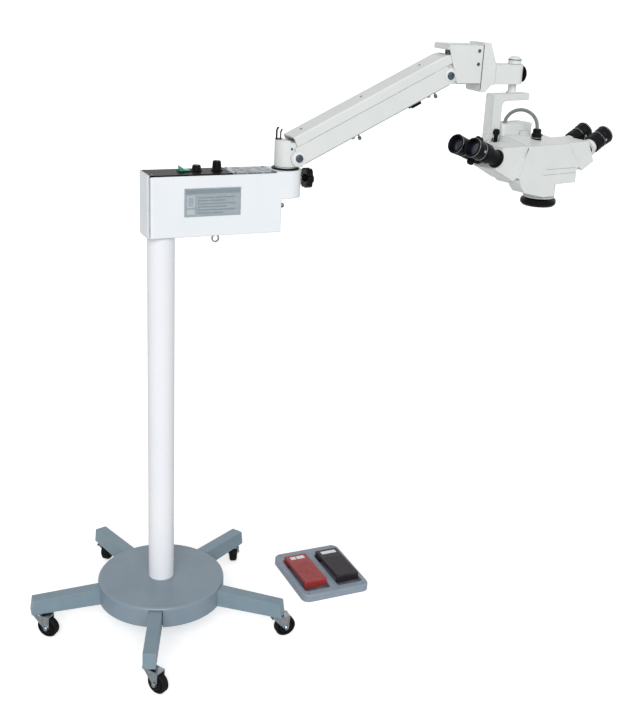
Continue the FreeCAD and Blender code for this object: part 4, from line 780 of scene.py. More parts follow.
@dataclass
class Studio:
    """The camera, the floor and the light round the object."""

    focal_px: float = 1078.216
    frame_height_px: float = 718.0
    sensor_mm: float = 36.0
    yaw: float = 25.968
    pitch: float = 19.9117
    roll: float = 2.9735
    from_column: tuple[float, float, float] = (-0.67504, -2.19424, 1.50414)
    floor_size: float = 600.0
    floor_drop: float = 0.0005
    floor_glow: float = 0.5
    sky: float = 0.42
    sun: float = 1.9
    sun_spread: float = 40.0
    sun_aim: tuple[float, float, float] = (0.34, 0.78, -0.52)
    far_clip: float = 2000.0

    def build(self) -> None:
        """Makes the camera, the floor and the lights."""
        self.camera()
        self.floor()
        self.lights()
        bpy.context.scene.view_settings.view_transform = "Standard"

    def camera(self) -> None:
        """Stands the camera where the photograph was taken from."""
        yaw, pitch, roll = (math.radians(v) for v in (self.yaw, self.pitch, self.roll))
        right = Vector((math.cos(yaw), -math.sin(yaw), 0))
        ahead = Vector(
            (math.sin(yaw) * math.cos(pitch), math.cos(yaw) * math.cos(pitch), -math.sin(pitch))
        )
        above = right.cross(ahead)
        side = right * math.cos(roll) + above * math.sin(roll)
        top = above * math.cos(roll) - right * math.sin(roll)
        lens = bpy.data.cameras.new("camera")
        lens.sensor_fit = "VERTICAL"
        lens.sensor_height = self.sensor_mm
        lens.lens = self.focal_px / self.frame_height_px * self.sensor_mm
        lens.clip_end = self.far_clip
        camera = bpy.data.objects.new("camera", lens)
        bpy.context.scene.collection.objects.link(camera)
        stand = Matrix.Translation(COLUMN.translation + Vector(self.from_column))
        camera.matrix_world = stand @ Matrix((side, top, -ahead)).transposed().to_4x4()
        bpy.context.scene.camera = camera

    def floor(self) -> None:
        """Lays the pale floor, which glows a little for the camera alone."""
        BENCH.clear()
        bpy.ops.mesh.primitive_plane_add(
            size=self.floor_size, location=(0, 0, -self.floor_drop)
        )
        floor = bpy.context.object
        floor.name = "studio_floor"
        made = empty_material("Matt white studio floor")
        place = add_node(made, "TexCoord", "Object")
        tone = add_node(
            made, "TexNoise", "Fac", {"Scale": 2.0, "Detail": 2.0}, {"Vector": place}
        )
        colour = add_node(
            made, "Mix", 2,
            {"data_type": "RGBA", 6: (0.93, 0.93, 0.93, 1), 7: (0.95, 0.95, 0.95, 1)},
            {0: tone},
        )
        matt = add_node(made, "BsdfDiffuse", "BSDF", None, {"Color": colour})
        seen = add_node(made, "LightPath", "Is Camera Ray")
        lift = add_node(
            made, "Math", "Value", {"operation": "MULTIPLY", 1: self.floor_glow}, {0: seen}
        )
        glow = add_node(
            made, "Emission", "Emission", {"Color": (1, 1, 1, 1)}, {"Strength": lift}
        )
        both = add_node(made, "AddShader", "Shader", None, {0: matt, 1: glow})
        add_node(made, "OutputMaterial", 0, None, {"Surface": both})
        floor.data.materials.append(made)

    def lights(self) -> None:
        """Makes the even sky and one soft sun from the upper left."""
        world = bpy.data.worlds.new("studio")
        bpy.context.scene.world = world
        world.use_nodes = True
        world.node_tree.nodes.clear()
        seen = add_node(world, "LightPath", "Is Camera Ray")
        for ray in ("Is Glossy Ray", "Is Transmission Ray"):
            other = add_node(world, "LightPath", ray)
            seen = add_node(
                world, "Math", "Value", {"operation": "MAXIMUM"}, {0: seen, 1: other}
            )
        strength = add_node(
            world, "MapRange", "Result", {"To Min": self.sky, "To Max": 1.0}, {"Value": seen}
        )
        back = add_node(
            world, "Background", "Background", {"Color": (1, 1, 1, 1)}, {"Strength": strength}
        )
        add_node(world, "OutputWorld", 0, None, {"Surface": back})
        lamp = bpy.data.lights.new("sun", "SUN")
        lamp.energy = self.sun
        lamp.angle = math.radians(self.sun_spread)
        sun = bpy.data.objects.new("sun", lamp)
        bpy.context.scene.collection.objects.link(sun)
        sun.rotation_mode = "QUATERNION"
        sun.rotation_quaternion = Vector(self.sun_aim).to_track_quat("-Z", "Y")


# ---- the cord


@dataclass
class LightGuide:
    """The fibre light guide that arches from the plug to the focus housing."""

    diameter: float = 0.0084
    length: float = 0.1516
    route: tuple[tuple[float, float, float], ...] = (
        (0.4928, -0.0678, 1.1582),
        (0.4928, -0.0678, 1.1802),
        (0.4858, -0.0593, 1.1993),
        (0.4736, -0.0446, 1.2103),
        (0.4596, -0.0276, 1.2103),
        (0.4475, -0.0128, 1.1993),
        (0.4404, -0.0043, 1.1802),
        (0.4404, -0.0043, 1.1582),
    )

    def build(self) -> None:
        """Draws the guide as one smooth line."""
        curve = bpy.data.curves.new("fibre_light_guide", "CURVE")
        curve.dimensions = "3D"
        curve.bevel_depth = self.diameter / 2
        curve.bevel_resolution = 5
        curve.resolution_u = 24
        curve.use_fill_caps = True
        spline = curve.splines.new("NURBS")
        spline.points.add(len(self.route) - 1)
        for point, place in zip(spline.points, self.route):
            point.co = (*place, 1.0)
        spline.order_u = 3
        spline.use_endpoint_u = True
        guide = bpy.data.objects.new("fibre_light_guide", curve)
        bpy.context.scene.collection.objects.link(guide)
        curve.materials.append(SLEEVE_GREY.material())
        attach(guide, "microscope")
        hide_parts("light_guide")
        LOG.info("piece fibre_light_guide on microscope")


# ---- sub-assemblies


@dataclass
class Stand:
    """Fine pieces of the five-legged stand."""

    column_radius: float = 30.0
    drum_top: float = 109.0
    caster_radius: float = 291.0
    first_leg: float = -112.0
    wheel_radius: float = 25.0
    trail: float = 24.0
    headings: tuple[float, ...] = (-60.0, -2.0, 74.0, 48.0, -42.0)
    cap_reach: float = 8.3
    cap: Outline = ((9.4, 0), (16.6, 0), (16.2, 1.2), (11.0, 2.4), (9.4, 2.4))
    nut_reach: float = 13.8
    nut: Outline = ((5.2, 0), (5.2, 2.2), (4.2, 3.0))
    band: Outline = ((24.4, -2.4), (25.0, -2.0), (25.0, 2.0), (24.4, 2.4), (24.0, 0.0))

    def build(self) -> None:
        """Makes the column's foot seal and the hub caps, axle nuts and tyre bands."""
        radius = self.column_radius
        seal = BENCH.ring(
            ((radius + 0.2, 0), (radius + 2.2, 0), (radius + 2.0, 1.0), (radius + 0.2, 1.8)), 64
        )
        foot = spot(COLUMN, 0, 0, self.drum_top)
        BENCH.fit(seal, BASE_ENAMEL, ("column_foot_seal", foot, "stand"))
        caps, nuts, bands = [], [], []
        for number, heading in enumerate(self.headings, start=1):
            leg = math.radians(self.first_leg + 72 * (number - 1))
            x, y = self.caster_radius * math.cos(leg), self.caster_radius * math.sin(leg)
            axle = spot(COLUMN, x, y, 0) @ turn(heading)
            wheel = "wheel_%d" % number
            bands.append((
                "tyre_band_%d" % number,
                spot(axle, self.trail, 0, self.wheel_radius, Axis.FRONT), wheel,
            ))
            for label, side, axis in (("left", 1, Axis.BACK), ("right", -1, Axis.FRONT)):
                cap = spot(axle, self.trail, side * self.cap_reach, self.wheel_radius, axis)
                caps.append(("hub_cap_%s_%d" % (label, number), cap, wheel))
                nut = spot(axle, self.trail, side * self.nut_reach, self.wheel_radius, axis)
                nuts.append(("axle_nut_%s_%d" % (label, number), nut, "caster_%d" % number))
        BENCH.fit(BENCH.ring(self.cap, 36), BLACK_MOULDED, *caps)
        BENCH.fit(BENCH.turned(self.nut, 6), CHROME, *nuts, smooth=FLAT)
        BENCH.fit(BENCH.ring(self.band, 48), TYRE_RUBBER, *bands)


@dataclass
class ControlBox:
    """Fine pieces of the control box."""

    top: float = 1082.5
    bottom: float = 948.0
    left: float = -38.0
    corner: float = 12.0
    half_depth: float = 35.3
    front: float = 264.6
    turret_x: float = 286.0
    clamp_z: float = 1060.0
    clamp_reach: float = 28.0
    bead: tuple[float, float] = (5.0, 0.75)
    bead_lift: float = 0.6
    plate_x: tuple[float, float] = (40.5, 168.5)
    plate_z: tuple[float, float] = (991.8, 1053.0)
    plate_thickness: float = 0.8
    rocker_x: float = 52.0
    dimmer_x: float = 80.0
    selector_x: float = 126.0
    knob_y: float = 3.0
    knob_radius: float = 9.5
    knob_base: float = 0.3
    tick_radius: float = 14.6
    screw_x: tuple[float, ...] = (-28, 143, 157, 243)
    screw_y: float = 29.0
    step_screw: tuple[float, float] = (27, 1006)

    def build(self) -> None:
        """Makes everything on the box."""
        self.corner_beads()
        self.nameplate()
        self.panel_marks()
        self.rocker_marks()
        self.knob("brightness", "dimmer", self.dimmer_x, 13.0)
        self.knob("lamp_select", "selector", self.selector_x, 21.0)
        self.screws()
        self.turret_seal()
        self.clamp_trim()

    def corner_beads(self) -> None:
        """Covers the folded seam of each rear corner with a flat bead."""
        inset = self.corner * (1 - math.sqrt(0.5))
        high = self.top - self.bottom - 5.0
        width, thick = self.bead
        rows = []
        for label, side, _ in SIDES:
            foot = spot(
                COLUMN, self.left + inset, side * (self.half_depth - inset),
                self.bottom + self.bead_lift,
            )
            lean = turn(side * 45) @ shift(0.3, 0, high / 2) @ Axis.LEFT.turn() @ turn(90)
            rows.append(("corner_bead_%s" % label, foot @ lean, "box"))
        BENCH.fit(BENCH.slab(width, high, thick, 0.3), POWDER_WHITE, *rows, smooth=FLAT)

    def nameplate(self) -> None:
        """Lays a bare plate with blank ruled cells on the front."""
        (left, right), (low, high) = self.plate_x, self.plate_z
        place = spot(
            COLUMN, (left + right) / 2, -self.half_depth, (low + high) / 2, Axis.FRONT
        )
        plate = BENCH.slab(right - left, high - low, self.plate_thickness, 0.25)
        BENCH.press(1.8, 0.3)
        BENCH.fit(plate, PLATE_GREY, ("nameplate", place, "box"), smooth=FLAT)
        self.cells(place, right - left - 6, high - low - 6)

    def cells(self, place: Matrix, wide: float, high: float) -> None:
        """Lays the plate's blank cells: a strip on top, a box at the left and rows.

        Args:
            place: the plate's middle.
            wide, high: the ruled area's size.
        """
        left, low = -wide / 2, -high / 2
        areas = [
            (left, high / 2 - 9, wide, 9, PLATE_DARK),
            (left + 3, low + 17, 17, high - 30, PLATE_PALE),
            (left + 5.5, low + 20, 12, high - 36, PLATE_GREY),
            (left + 3, low + 2, 17, 11, PLATE_PALE),
        ]
        for number, share in enumerate((0.62, 0.48, 0.70, 0.55, 0.66, 0.40)):
            y = low + 3.5 + number * 6.6
            areas.append((left + 27, y, (wide - 29) * share, 2.2, PLATE_DARK))
            if number % 2:
                start = left + 29 + (wide - 29) * share
                areas.append((start, y, (wide - 31) * (0.9 - share), 2.2, PLATE_DARK))
        for number, (x, y, width, height, finish) in enumerate(areas, start=1):
            middle = place @ shift(x + width / 2, y + height / 2, 0.5 + 0.06 * (number % 4))
            BENCH.fit(
                BENCH.slab(width, height, 0.35, 0.1), finish,
                ("nameplate_cell_%d" % number, middle, "box"), smooth=FLAT,
            )

    def panel_marks(self) -> None:
        """Prints the tick marks round the two knobs."""
        for label, x, sweep, count in (
            ("brightness", self.dimmer_x, 150, 11), ("lamp_select", self.selector_x, 60, 3),
        ):
            marks = BENCH.slab(0.7, 2.2, 0.15, 0.05)
            angles = [2 * sweep * number / (count - 1) - sweep for number in range(count)]
            BENCH.fan_out(marks, angles, self.tick_radius)
            place = spot(COLUMN, x, self.knob_y, self.top)
            BENCH.fit(marks, PRINT_WHITE, ("%s_scale" % label, place, "box"), smooth=FLAT)

    def rocker_marks(self) -> None:
        """Prints the round and straight marks on the rocker."""
        tip = spot(COLUMN, self.rocker_x, self.knob_y, self.top)
        raised = tip @ shift(-6.2, 0, 9.6) @ Matrix.Rotation(math.atan2(8.0, 11.0), 4, "Y")
        lowered = tip @ shift(6.0, 0, 4.3) @ Matrix.Rotation(0.13, 4, "Y")
        circle = BENCH.ring(((1.6, 0), (2.4, 0), (2.4, 0.2), (1.6, 0.2)), 24)
        slot = ROCKER_GREEN.slot
        BENCH.fit(
            circle, PRINT_WHITE, ("rocker_off_mark", raised, "rocker"), smooth=FLAT, slot=slot
        )
        bar = BENCH.slab(0.8, 4.6, 0.2, 0.06)
        BENCH.fit(
            bar, PRINT_WHITE, ("rocker_on_mark", lowered, "rocker"), smooth=FLAT, slot=slot
        )

    def knob(self, label: str, body: str, x: float, height: float) -> None:
        """Adds a knob's fluted grip and its pointer line.

        Args:
            label: the start of the pieces' names.
            body: the knob's body.
            x: its place along the box.
            height: its height.
        """
        foot, head = self.knob_base, self.knob_base + height
        grip = BENCH.fluted(
            ((self.knob_radius + 0.05, foot + 4.4), (self.knob_radius - 1.3, head - 1.3)),
            36, 0.55,
        )
        place = spot(COLUMN, x, self.knob_y, self.top)
        BENCH.fit(grip, BLACK_MOULDED, ("%s_grip" % label, place, body), smooth=FLAT)
        line = BENCH.slab(1.1, 6.4, 0.3, 0.1)
        on_top = place @ shift(0, -4.0, head)
        BENCH.fit(line, PRINT_WHITE, ("%s_pointer" % label, on_top, body), smooth=FLAT)

    def screws(self) -> None:
        """Sets the screws of the panel and the lid and the two on the step."""
        spots = [(x, y) for x in self.screw_x for y in (-self.screw_y, self.screw_y)]
        rows = [("panel_screw_%d" % number, spot(COLUMN, x, y, self.top), "box")
                for number, (x, y) in enumerate(spots, start=1)]
        BENCH.fit(BENCH.screw(2.6, 1.5), TURNED_STEEL, *rows)
        reach, z = self.step_screw
        rows = [("step_screw_%d" % number, spot(COLUMN, self.front, y, z, Axis.RIGHT), "box")
                for number, y in enumerate((-reach, reach), start=1)]
        BENCH.fit(BENCH.screw(5.5, 9.0), TURNED_STEEL, *rows)

    def turret_seal(self) -> None:
        """Lays the black seal ring round the turret's foot."""
        seal = BENCH.ring(
            ((24.6, 0), (31.0, 0), (31.0, 2.6), (29.6, 4.0), (25.8, 4.0), (24.6, 3.0)), 64
        )
        place = spot(COLUMN, self.turret_x, 0, self.top)
        BENCH.fit(seal, BLACK_MOULDED, ("turret_seal", place, "box"))

    def clamp_trim(self) -> None:
        """Adds the clamp knob's metal insert and the washer at its neck."""
        nose = spot(COLUMN, self.turret_x + self.half_depth, 0, self.clamp_z, Axis.RIGHT)
        insert = BENCH.turned(((6.0, 0), (6.0, 1.2), (4.4, 2.2), (2.0, 2.6)), 32)
        place = nose @ shift(0, 0, self.clamp_reach)
        BENCH.fit(insert, CHROME, ("clamp_knob_insert", place, "clamp"))
        washer = BENCH.ring(((5.3, 0), (10.5, 0), (10.5, 1.0), (9.6, 1.6), (5.3, 1.6)), 36)
        BENCH.fit(washer, CHROME, ("clamp_knob_washer", nose, "box"))


@dataclass
class BalanceArm:
    """Fine pieces of the turret, the beam and the head bracket."""

    pivot: tuple[float, float] = (305.0, 1109.0)
    upper: tuple[float, float] = (675.03, 1287.88)
    half_width: float = 30.0
    bolt_radius: float = 8.1
    bolt_reach: float = 4.3
    washer: Outline = ((8.7, 0), (13.5, 0), (13.5, 0.7), (12.6, 1.3), (8.7, 1.3))
    cheek: float = 0.8
    cheek_gap: float = 0.3
    cheek_z: tuple[float, float] = (1269.8, 1356.4)
    cheek_right: float = 757.0
    cheek_foot: float = 693.0
    cheek_left: tuple[float, float] = (663.0, 692.0)
    screw_x: float = 746.5
    screw_z: tuple[float, float] = (1343.5, 1314.0)
    beam_middle: float = 205.0
    underside: float = -18.5
    pin: Outline = ((2.2, 0), (2.2, 6.0), (4.2, 7.0), (4.2, 12.0), (3.2, 13.6), (1.8, 14.5))

    def build(self) -> None:
        """Makes the trim of the pivots, the turret, the bracket and the beam."""
        self.pivots()
        rows = both_sides("turret_screw_%s", "turret", 289.2, 25.5, 1129.0)
        BENCH.fit(BENCH.screw(3.0, 0.6), BOLT_STEEL, *rows)
        self.bracket_cheeks()
        self.bracket_trim()
        self.beam_trim()

    def pivots(self) -> None:
        """Makes the washers and the bolts' socket faces of both pivots."""
        washers, faces = [], []
        for label, (x, z), body, host in (
            ("lower", self.pivot, "turret", "beam"), ("upper", self.upper, "bracket", "bracket"),
        ):
            reach = self.half_width + self.cheek_gap
            washers += both_sides(label + "_pivot_washer_%s", host, x, reach, z)
            reach = self.half_width + self.bolt_reach
            faces += both_sides(label + "_pivot_face_%s", body, x, reach, z)
        BENCH.fit(BENCH.ring(self.washer, 40), WASHER_PALE, *washers)
        radius = self.bolt_radius
        face = BENCH.turned(((radius, 0), (radius, 1.2), (radius - 1, 2.0)), 24)
        BENCH.press(radius * 0.42, 1.6)
        BENCH.fit(face, BOLT_STEEL, *faces, smooth=25.0)

    def bracket_cheeks(self) -> None:
        """Closes both sides of the head bracket over the beam's end."""
        low, high = self.cheek_z
        right = self.cheek_right
        for (label, side, _), left in zip(SIDES, self.cheek_left):
            cheek = BENCH.slab(right - left, high - low, self.cheek, 0.3)
            bpy.ops.object.mode_set(mode="EDIT")
            BENCH.pick(lambda point, normal: point.x < 0 and point.y < 0, points=True)
            bpy.ops.transform.translate(value=((self.cheek_foot - left) * MM, 0, 0))
            bpy.ops.object.mode_set(mode="OBJECT")
            reach = side * (self.half_width + self.cheek_gap) + max(side, 0) * self.cheek
            place = spot(COLUMN, (left + right) / 2, reach, (low + high) / 2, Axis.FRONT)
            row = ("bracket_cheek_%s" % label, place, "bracket")
            BENCH.fit(cheek, CAST_WHITE, row, smooth=FLAT)

    def bracket_trim(self) -> None:
        """Lays painted shade in the joint beside the flared block and along the lower edge, and
        sets the screws.
        """
        rows = both_sides("block_joint_%s", "bracket", 758.4, self.half_width, 1307.0)
        BENCH.fit(BENCH.slab(2.4, 100, 0.3, 0.1), SHADOW_GAP, *rows, smooth=FLAT)
        reach = self.half_width + self.cheek_gap + self.cheek
        rows = both_sides("bracket_lip_%s", "bracket", 725, reach, 1270.8)
        BENCH.fit(BENCH.slab(62, 1.6, 0.3, 0.1), LOWER_EDGE_SHADE, *rows, smooth=FLAT)
        rows = []
        for number, z in enumerate(self.screw_z, start=1):
            name = "bracket_screw_%%s_%d" % number
            rows += both_sides(name, "bracket", self.screw_x, reach, z)
        BENCH.fit(BENCH.screw(4.2, 1.2), BOLT_STEEL, *rows)

    def beam_trim(self) -> None:
        """Adds painted shade along the beam's seams and lower edges, and its pins, lock cover and
        cover screws.
        """
        middle = self.beam_middle
        rows = both_sides("beam_seam_%s", "beam", middle, self.half_width, 24.0, BEAM)
        BENCH.fit(BENCH.slab(340, 0.7, 0.25, 0.1), SEAM_SHADE, *rows, smooth=FLAT)
        rows = both_sides("beam_lip_%s", "beam", middle, self.half_width, -17.4, BEAM)
        BENCH.fit(BENCH.slab(392, 1.8, 0.3, 0.1), LOWER_EDGE_SHADE, *rows, smooth=FLAT)
        rows = [("beam_pin_%d" % number, spot(BEAM, x, -23, self.underside, Axis.DOWN), "beam")
                for number, x in enumerate((153, 363), start=1)]
        BENCH.fit(BENCH.turned(self.pin, 24), TURNED_STEEL, *rows)
        cover = BENCH.slab(26, 13, 8.5, 1.6)
        place = spot(BEAM, 310, -20, self.underside, Axis.DOWN)
        BENCH.fit(cover, BLACK_PHENOLIC, ("arm_lock_cover", place, "beam"))
        rows = [("cover_screw_%d" % number, spot(BEAM, x, 0, 47.0), "beam")
                for number, x in enumerate((40, 200, 360), start=1)]
        BENCH.fit(BENCH.screw(3.0, 1.3), TURNED_STEEL, *rows)


@dataclass
class HeadEnd:
    """Fine pieces of the swivel, the yoke and the focus unit."""

    swivel_x: float = 868.0
    swivel_top: float = 1312.98
    swivel_low: float = 1267.98
    brake_reach: float = 22.6
    spindle_z: float = 1246.0
    cap_rim: Outline = ((15.3, 0), (16.1, 0.3), (16.1, 1.9), (15.3, 2.2), (15.0, 1.1))
    collar: Outline = ((10.0, 0), (13.5, 0), (13.5, 1.6), (12.4, 2.6), (10.0, 2.6))
    tilt: tuple[float, float, float] = (-64.0, -13.0, 1141.0)
    seam: tuple[float, float, float] = (16.0, 14.0, 1175.98)

    def build(self) -> None:
        """Makes the cap's rim, the collar, the brake's grip, the yoke's screw and the painted
        shade of the housing's seam.
        """
        place = spot(HEAD, 0, 0, self.swivel_top + 9.0)
        rim = BENCH.ring(self.cap_rim, 48)
        slot = BLACK_MOULDED.slot
        BENCH.fit(rim, BOLT_STEEL, ("cap_rim", place, "yoke"), slot=slot)
        place = spot(HEAD, 0, 0, self.spindle_z)
        BENCH.fit(BENCH.ring(self.collar, 40), CAST_WHITE, ("spindle_collar", place, "yoke"))
        middle = (self.swivel_top + self.swivel_low) / 2
        place = spot(COLUMN, self.swivel_x + self.brake_reach, 0, middle, Axis.RIGHT)
        grip = BENCH.fluted(((17.9, 0), (17.9, 2.2)), 48, 0.9)
        BENCH.fit(grip, BLACK_MOULDED, ("brake_knob_grip", place, "brake"), smooth=FLAT)
        place = spot(HEAD, *self.tilt, Axis.FRONT)
        BENCH.fit(BENCH.screw(4.4, 2.2), TURNED_STEEL, ("tilt_screw", place, "yoke"))
        # A grey strip: painted shade in the focus housing's seam.
        strip = BENCH.slab(70, 1.6, 0.25, 0.1)
        row = ("focus_housing_seam_shade", spot(HEAD, *self.seam), "focus")
        BENCH.fit(strip, SEAM_SHADE, row, smooth=FLAT)


@dataclass
class MicroscopeBody:
    """Fine pieces of the microscope body and its light plug."""

    front: float = -118.0
    collar_low: float = 1004.98
    optic: tuple[float, float] = (58.0, -71.0)
    plug_x: float = 26.0
    band: Outline = ((37.5, 0), (38.1, 0.2), (38.1, 1.0), (37.5, 1.2), (37.2, 0.6))
    plug_collar: Outline = ((12.0, 0), (13.2, 0.2), (13.2, 1.6), (12.0, 2.0), (11.8, 1.0))
    seams: tuple[tuple[float, float, float, float], ...] = (
        (20.0, 1081.0, 126.0, 1079.0), (12.0, 1068.0, 126.0, 1067.0),
    )
    gap_high: tuple[float, float, float] = (-48.6, -117.6, 1135.0)
    gap_low: tuple[float, float, float] = (-68.2, -112.4, 1062.0)
    gap_faces: tuple[float, float, float] = (-0.6, -0.8, 0.0)

    def build(self) -> None:
        """Makes the painted shade of the seams and of the prism's gap, the rings of the objective
        and the plug's trim.
        """
        for number, ends in enumerate(self.seams, start=1):
            self.body_seam_shade("body_seam_%d" % number, *ends)
        self.prism_gap_shade()
        x, y = self.optic
        # A grey band round the collar, in the seams' painted shade.
        place = spot(HEAD, x, y, self.collar_low + 4)
        row = ("collar_band", place, "microscope")
        BENCH.fit(BENCH.ring(self.band, 64), SEAM_SHADE, row)
        grip = BENCH.fluted(((42.6, 0), (42.6, 6.0)), 96, 0.5)
        place = spot(HEAD, x, y, self.collar_low - 13.2)
        BENCH.fit(grip, BLACK_ANODISED, ("objective_grip", place, "microscope"), smooth=15.0)
        place = spot(HEAD, self.plug_x, y, 1148.6)
        row = ("plug_collar", place, "microscope")
        BENCH.fit(BENCH.ring(self.plug_collar, 36), CHROME, row)
        place = spot(HEAD, self.plug_x + 6.4, y - 10.0, 1156.0, Axis.FRONT)
        BENCH.fit(BENCH.screw(3.0, 2.6), CHROME, ("plug_set_screw", place, "microscope"))

    def body_seam_shade(self, name: str, x0: float, z0: float, x1: float, z1: float) -> None:
        """Lays the painted shade of a seam, a grey strip, on the body's front face between two
        points.

        Args:
            name: the piece's name.
            x0, z0: the start's place along the head and its height.
            x1, z1: the end's.
        """
        strip = BENCH.slab(math.hypot(x1 - x0, z1 - z0), 0.8, 0.22, 0.08)
        lean = Matrix.Rotation(math.atan2(z1 - z0, x1 - x0), 4, "Z")
        place = spot(HEAD, (x0 + x1) / 2, self.front, (z0 + z1) / 2, Axis.FRONT) @ lean
        BENCH.fit(strip, SEAM_SHADE, (name, place, "microscope"), smooth=FLAT)

    def prism_gap_shade(self) -> None:
        """Lays a dark strip over the chamfer between the body's front edge and the main prism:
        painted shade of the gap.
        """
        high, low = Vector(self.gap_high), Vector(self.gap_low)
        along = (low - high).normalized()
        outward = Vector(self.gap_faces)
        outward = (outward - along * outward.dot(along)).normalized()
        length = (low - high).length
        strip = BENCH.slab(length, 1.8, 0.7, 0.2)
        bpy.ops.object.mode_set(mode="EDIT")
        BENCH.pick(lambda centre, normal: centre.x > length * 0.45 * MM)
        bpy.ops.transform.resize(value=(1, 2.8, 1), center_override=(0, 0, 0))
        bpy.ops.object.mode_set(mode="OBJECT")
        lie = Matrix((along, outward.cross(along), outward)).transposed().to_4x4()
        place = HEAD @ Matrix.Translation((high + low) / 2 * MM) @ lie
        BENCH.fit(strip, SHADOW_GAP, ("prism_gap_shade", place, "microscope"), smooth=FLAT)


@dataclass(frozen=True)
class TubePair:
    """Where one pair of viewing tubes leaves its prism."""

    label: str
    x: float
    z: float
    lean: float
    length: float
    across: tuple[float, float]

    def flange(self) -> Matrix:
        """Gives the pair's flange frame, with Z along the tubes."""
        return spot(HEAD, self.x, 0, self.z) @ turn(self.lean, "Y")


@dataclass
class Binoculars:
    """Fine pieces of the four viewing tubes and the spacing knob."""

    main: TubePair = TubePair("main", -135.5, 1112.98, -69.0, 32.0, (-102.0, -48.0))
    assistant: TubePair = TubePair("assistant", 182.5, 1119.98, 63.0, 14.0, (-100.0, -36.0))
    seat_gap: float = 0.3
    radius: float = 22.5
    length: float = 57.0
    grip_radius: float = 20.15
    knob_lift: float = 25.0
    lens: Outline = ((14.6, -11.9), (14.6, -11.0), (9.0, -10.0), (3.0, -9.7))
    dot: Outline = ((3.2, 0), (3.2, 0.8), (2.2, 1.3))

    def build(self) -> None:
        """Makes the grips, rings, lenses and marks of the eyepieces and the knob's grip."""
        grip = BENCH.fluted(((self.grip_radius, 2), (self.grip_radius, 12)), 40, 0.6)
        rows = self.rows("%s_dioptre_grip", Matrix.Identity(4))
        BENCH.fit(grip, BLACK_MOULDED, *rows, smooth=15.0)
        for number, (r, z) in enumerate(
            ((self.radius - 1.4, 27.0), (self.radius - 0.1, self.length - 4.0)), start=1
        ):
            ring = BENCH.ring(
                ((r, 0), (r + 0.5, 0.2), (r + 0.5, 1.1), (r, 1.3), (r - 0.4, 0.6)), 48
            )
            rows = self.rows("%%s_silver_ring_%d" % number, shift(0, 0, z))
            BENCH.fit(ring, CHROME, *rows)
        rows = self.rows("%s_eye_lens", shift(0, 0, self.length))
        BENCH.fit(BENCH.turned(self.lens, 48), COATED_GLASS, *rows, smooth=60.0)
        front = turn(-90) @ shift(self.radius - 1.7, 0, 33) @ Axis.RIGHT.turn()
        rows = self.rows("%s_zero_mark", front)
        BENCH.fit(BENCH.turned(self.dot, 24), SLEEVE_PLAIN, *rows)
        grip = BENCH.fluted(((8.1, 44.8), (8.1, 53.6)), 24, 0.6)
        middle = sum(self.main.across) / 2
        place = self.main.flange() @ shift(-self.knob_lift, middle, 0)
        BENCH.fit(grip, BLACK_MOULDED, ("spacing_knob_grip", place, "spacing_knob"), smooth=FLAT)

    def rows(self, name: str, inside: Matrix) -> list[Row]:
        """Lists the four places of a piece that every eyepiece has.

        Args:
            name: the piece's name, with %s where the eyepiece's label goes.
            inside: its place in the eyepiece's own frame.

        Returns:
            One row for each eyepiece.
        """
        rows = []
        for pair in (self.main, self.assistant):
            for which, y in zip(("near", "far"), pair.across):
                seat = pair.flange() @ shift(0, y, pair.length + self.seat_gap)
                body = "%s_eyepiece_%s" % (pair.label, which)
                rows.append((name % ("%s_%s" % (pair.label, which)), seat @ inside, body))
        return rows


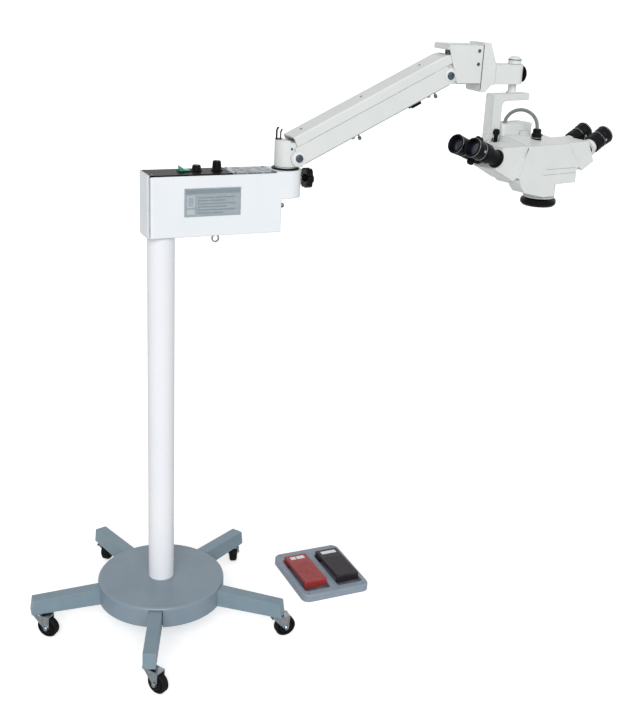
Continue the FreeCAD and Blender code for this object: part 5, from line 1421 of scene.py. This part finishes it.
@dataclass
class FootSwitch:
    """Fine pieces of the foot switch."""

    pedal_x: float = 45.0
    far: float = 69.0
    near: float = -71.0
    heel: float = 3.0
    high: float = 37.0
    low: float = 33.0
    strip_depth: float = 14.0
    rib_count: int = 9
    rib_step: float = 10.0
    screw: tuple[float, float, float] = (75.6, 98.0, 20.0)

    def build(self) -> None:
        """Makes the strips and treads of both pedals and the tray's screws."""
        self.pedal("red", -self.pedal_x, "pedal_left", PEDAL_RED, ((-12.5, 14.0), (8.0, 22.0)))
        self.pedal("black", self.pedal_x, "pedal_right", PEDAL_BLACK, ((0.0, 42.0),))
        x, y, z = self.screw
        corners = ((-x, -y), (-x, y), (x, -y), (x, y))
        rows = [("tray_screw_%d" % number, spot(TRAY, *corner, z), "foot_switch")
                for number, corner in enumerate(corners, start=1)]
        BENCH.fit(BENCH.screw(3.0, 1.2), TURNED_STEEL, *rows)

    def pedal(
        self,
        label: str,
        x: float,
        body: str,
        finish: Finish,
        strips: Sequence[tuple[float, float]],
    ) -> None:
        """Adds one pedal's white strips and its tread.

        Args:
            label: the start of the pieces' names.
            x: the pedal's middle.
            body: the pedal's body.
            finish: the tread's finish.
            strips: each strip's shift from the middle and its width.
        """
        for number, (aside, width) in enumerate(strips, start=1):
            strip = BENCH.slab(width, self.strip_depth, 0.5, 0.2)
            place = self.on_pedal(x + aside, self.far - 17)
            row = ("%s_pedal_strip_%d" % (label, number), place, body)
            BENCH.fit(strip, PRINT_WHITE, row, smooth=FLAT, slot=finish.slot)
        rows = []
        for number in range(self.rib_count):
            place = self.on_pedal(x, self.near + 14 + number * self.rib_step)
            rows.append(("%s_pedal_rib_%d" % (label, number + 1), place, body))
        BENCH.fit(BENCH.slab(48, 2.0, 0.6, 0.25), finish, *rows, smooth=FLAT)

    def on_pedal(self, x: float, y: float) -> Matrix:
        """Gives a place on the pedals' sloping top.

        Args:
            x, y: distances across and along the tray in millimetres.

        Returns:
            The place, leaning with the top.
        """
        reach, rise = self.far - self.near - self.heel, self.high - self.low
        height = self.low + rise * (self.far - y) / reach
        return spot(TRAY, x, y, height) @ Matrix.Rotation(-math.atan2(rise, reach), 4, "X")


def main() -> None:
    """Builds the scene in order and reports each piece."""
    bpy.context.scene.render.use_compositing = False
    Studio().build()
    LightGuide().build()
    dress_nodes()
    for part in (
        Stand(), ControlBox(), BalanceArm(), HeadEnd(), MicroscopeBody(), Binoculars(),
        FootSwitch(),
    ):
        LOG.info("building %s", type(part).__name__)
        part.build()
    LOG.info("%d pieces made", len(BENCH.made))
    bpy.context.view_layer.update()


if __name__ == "__main__":
    main()
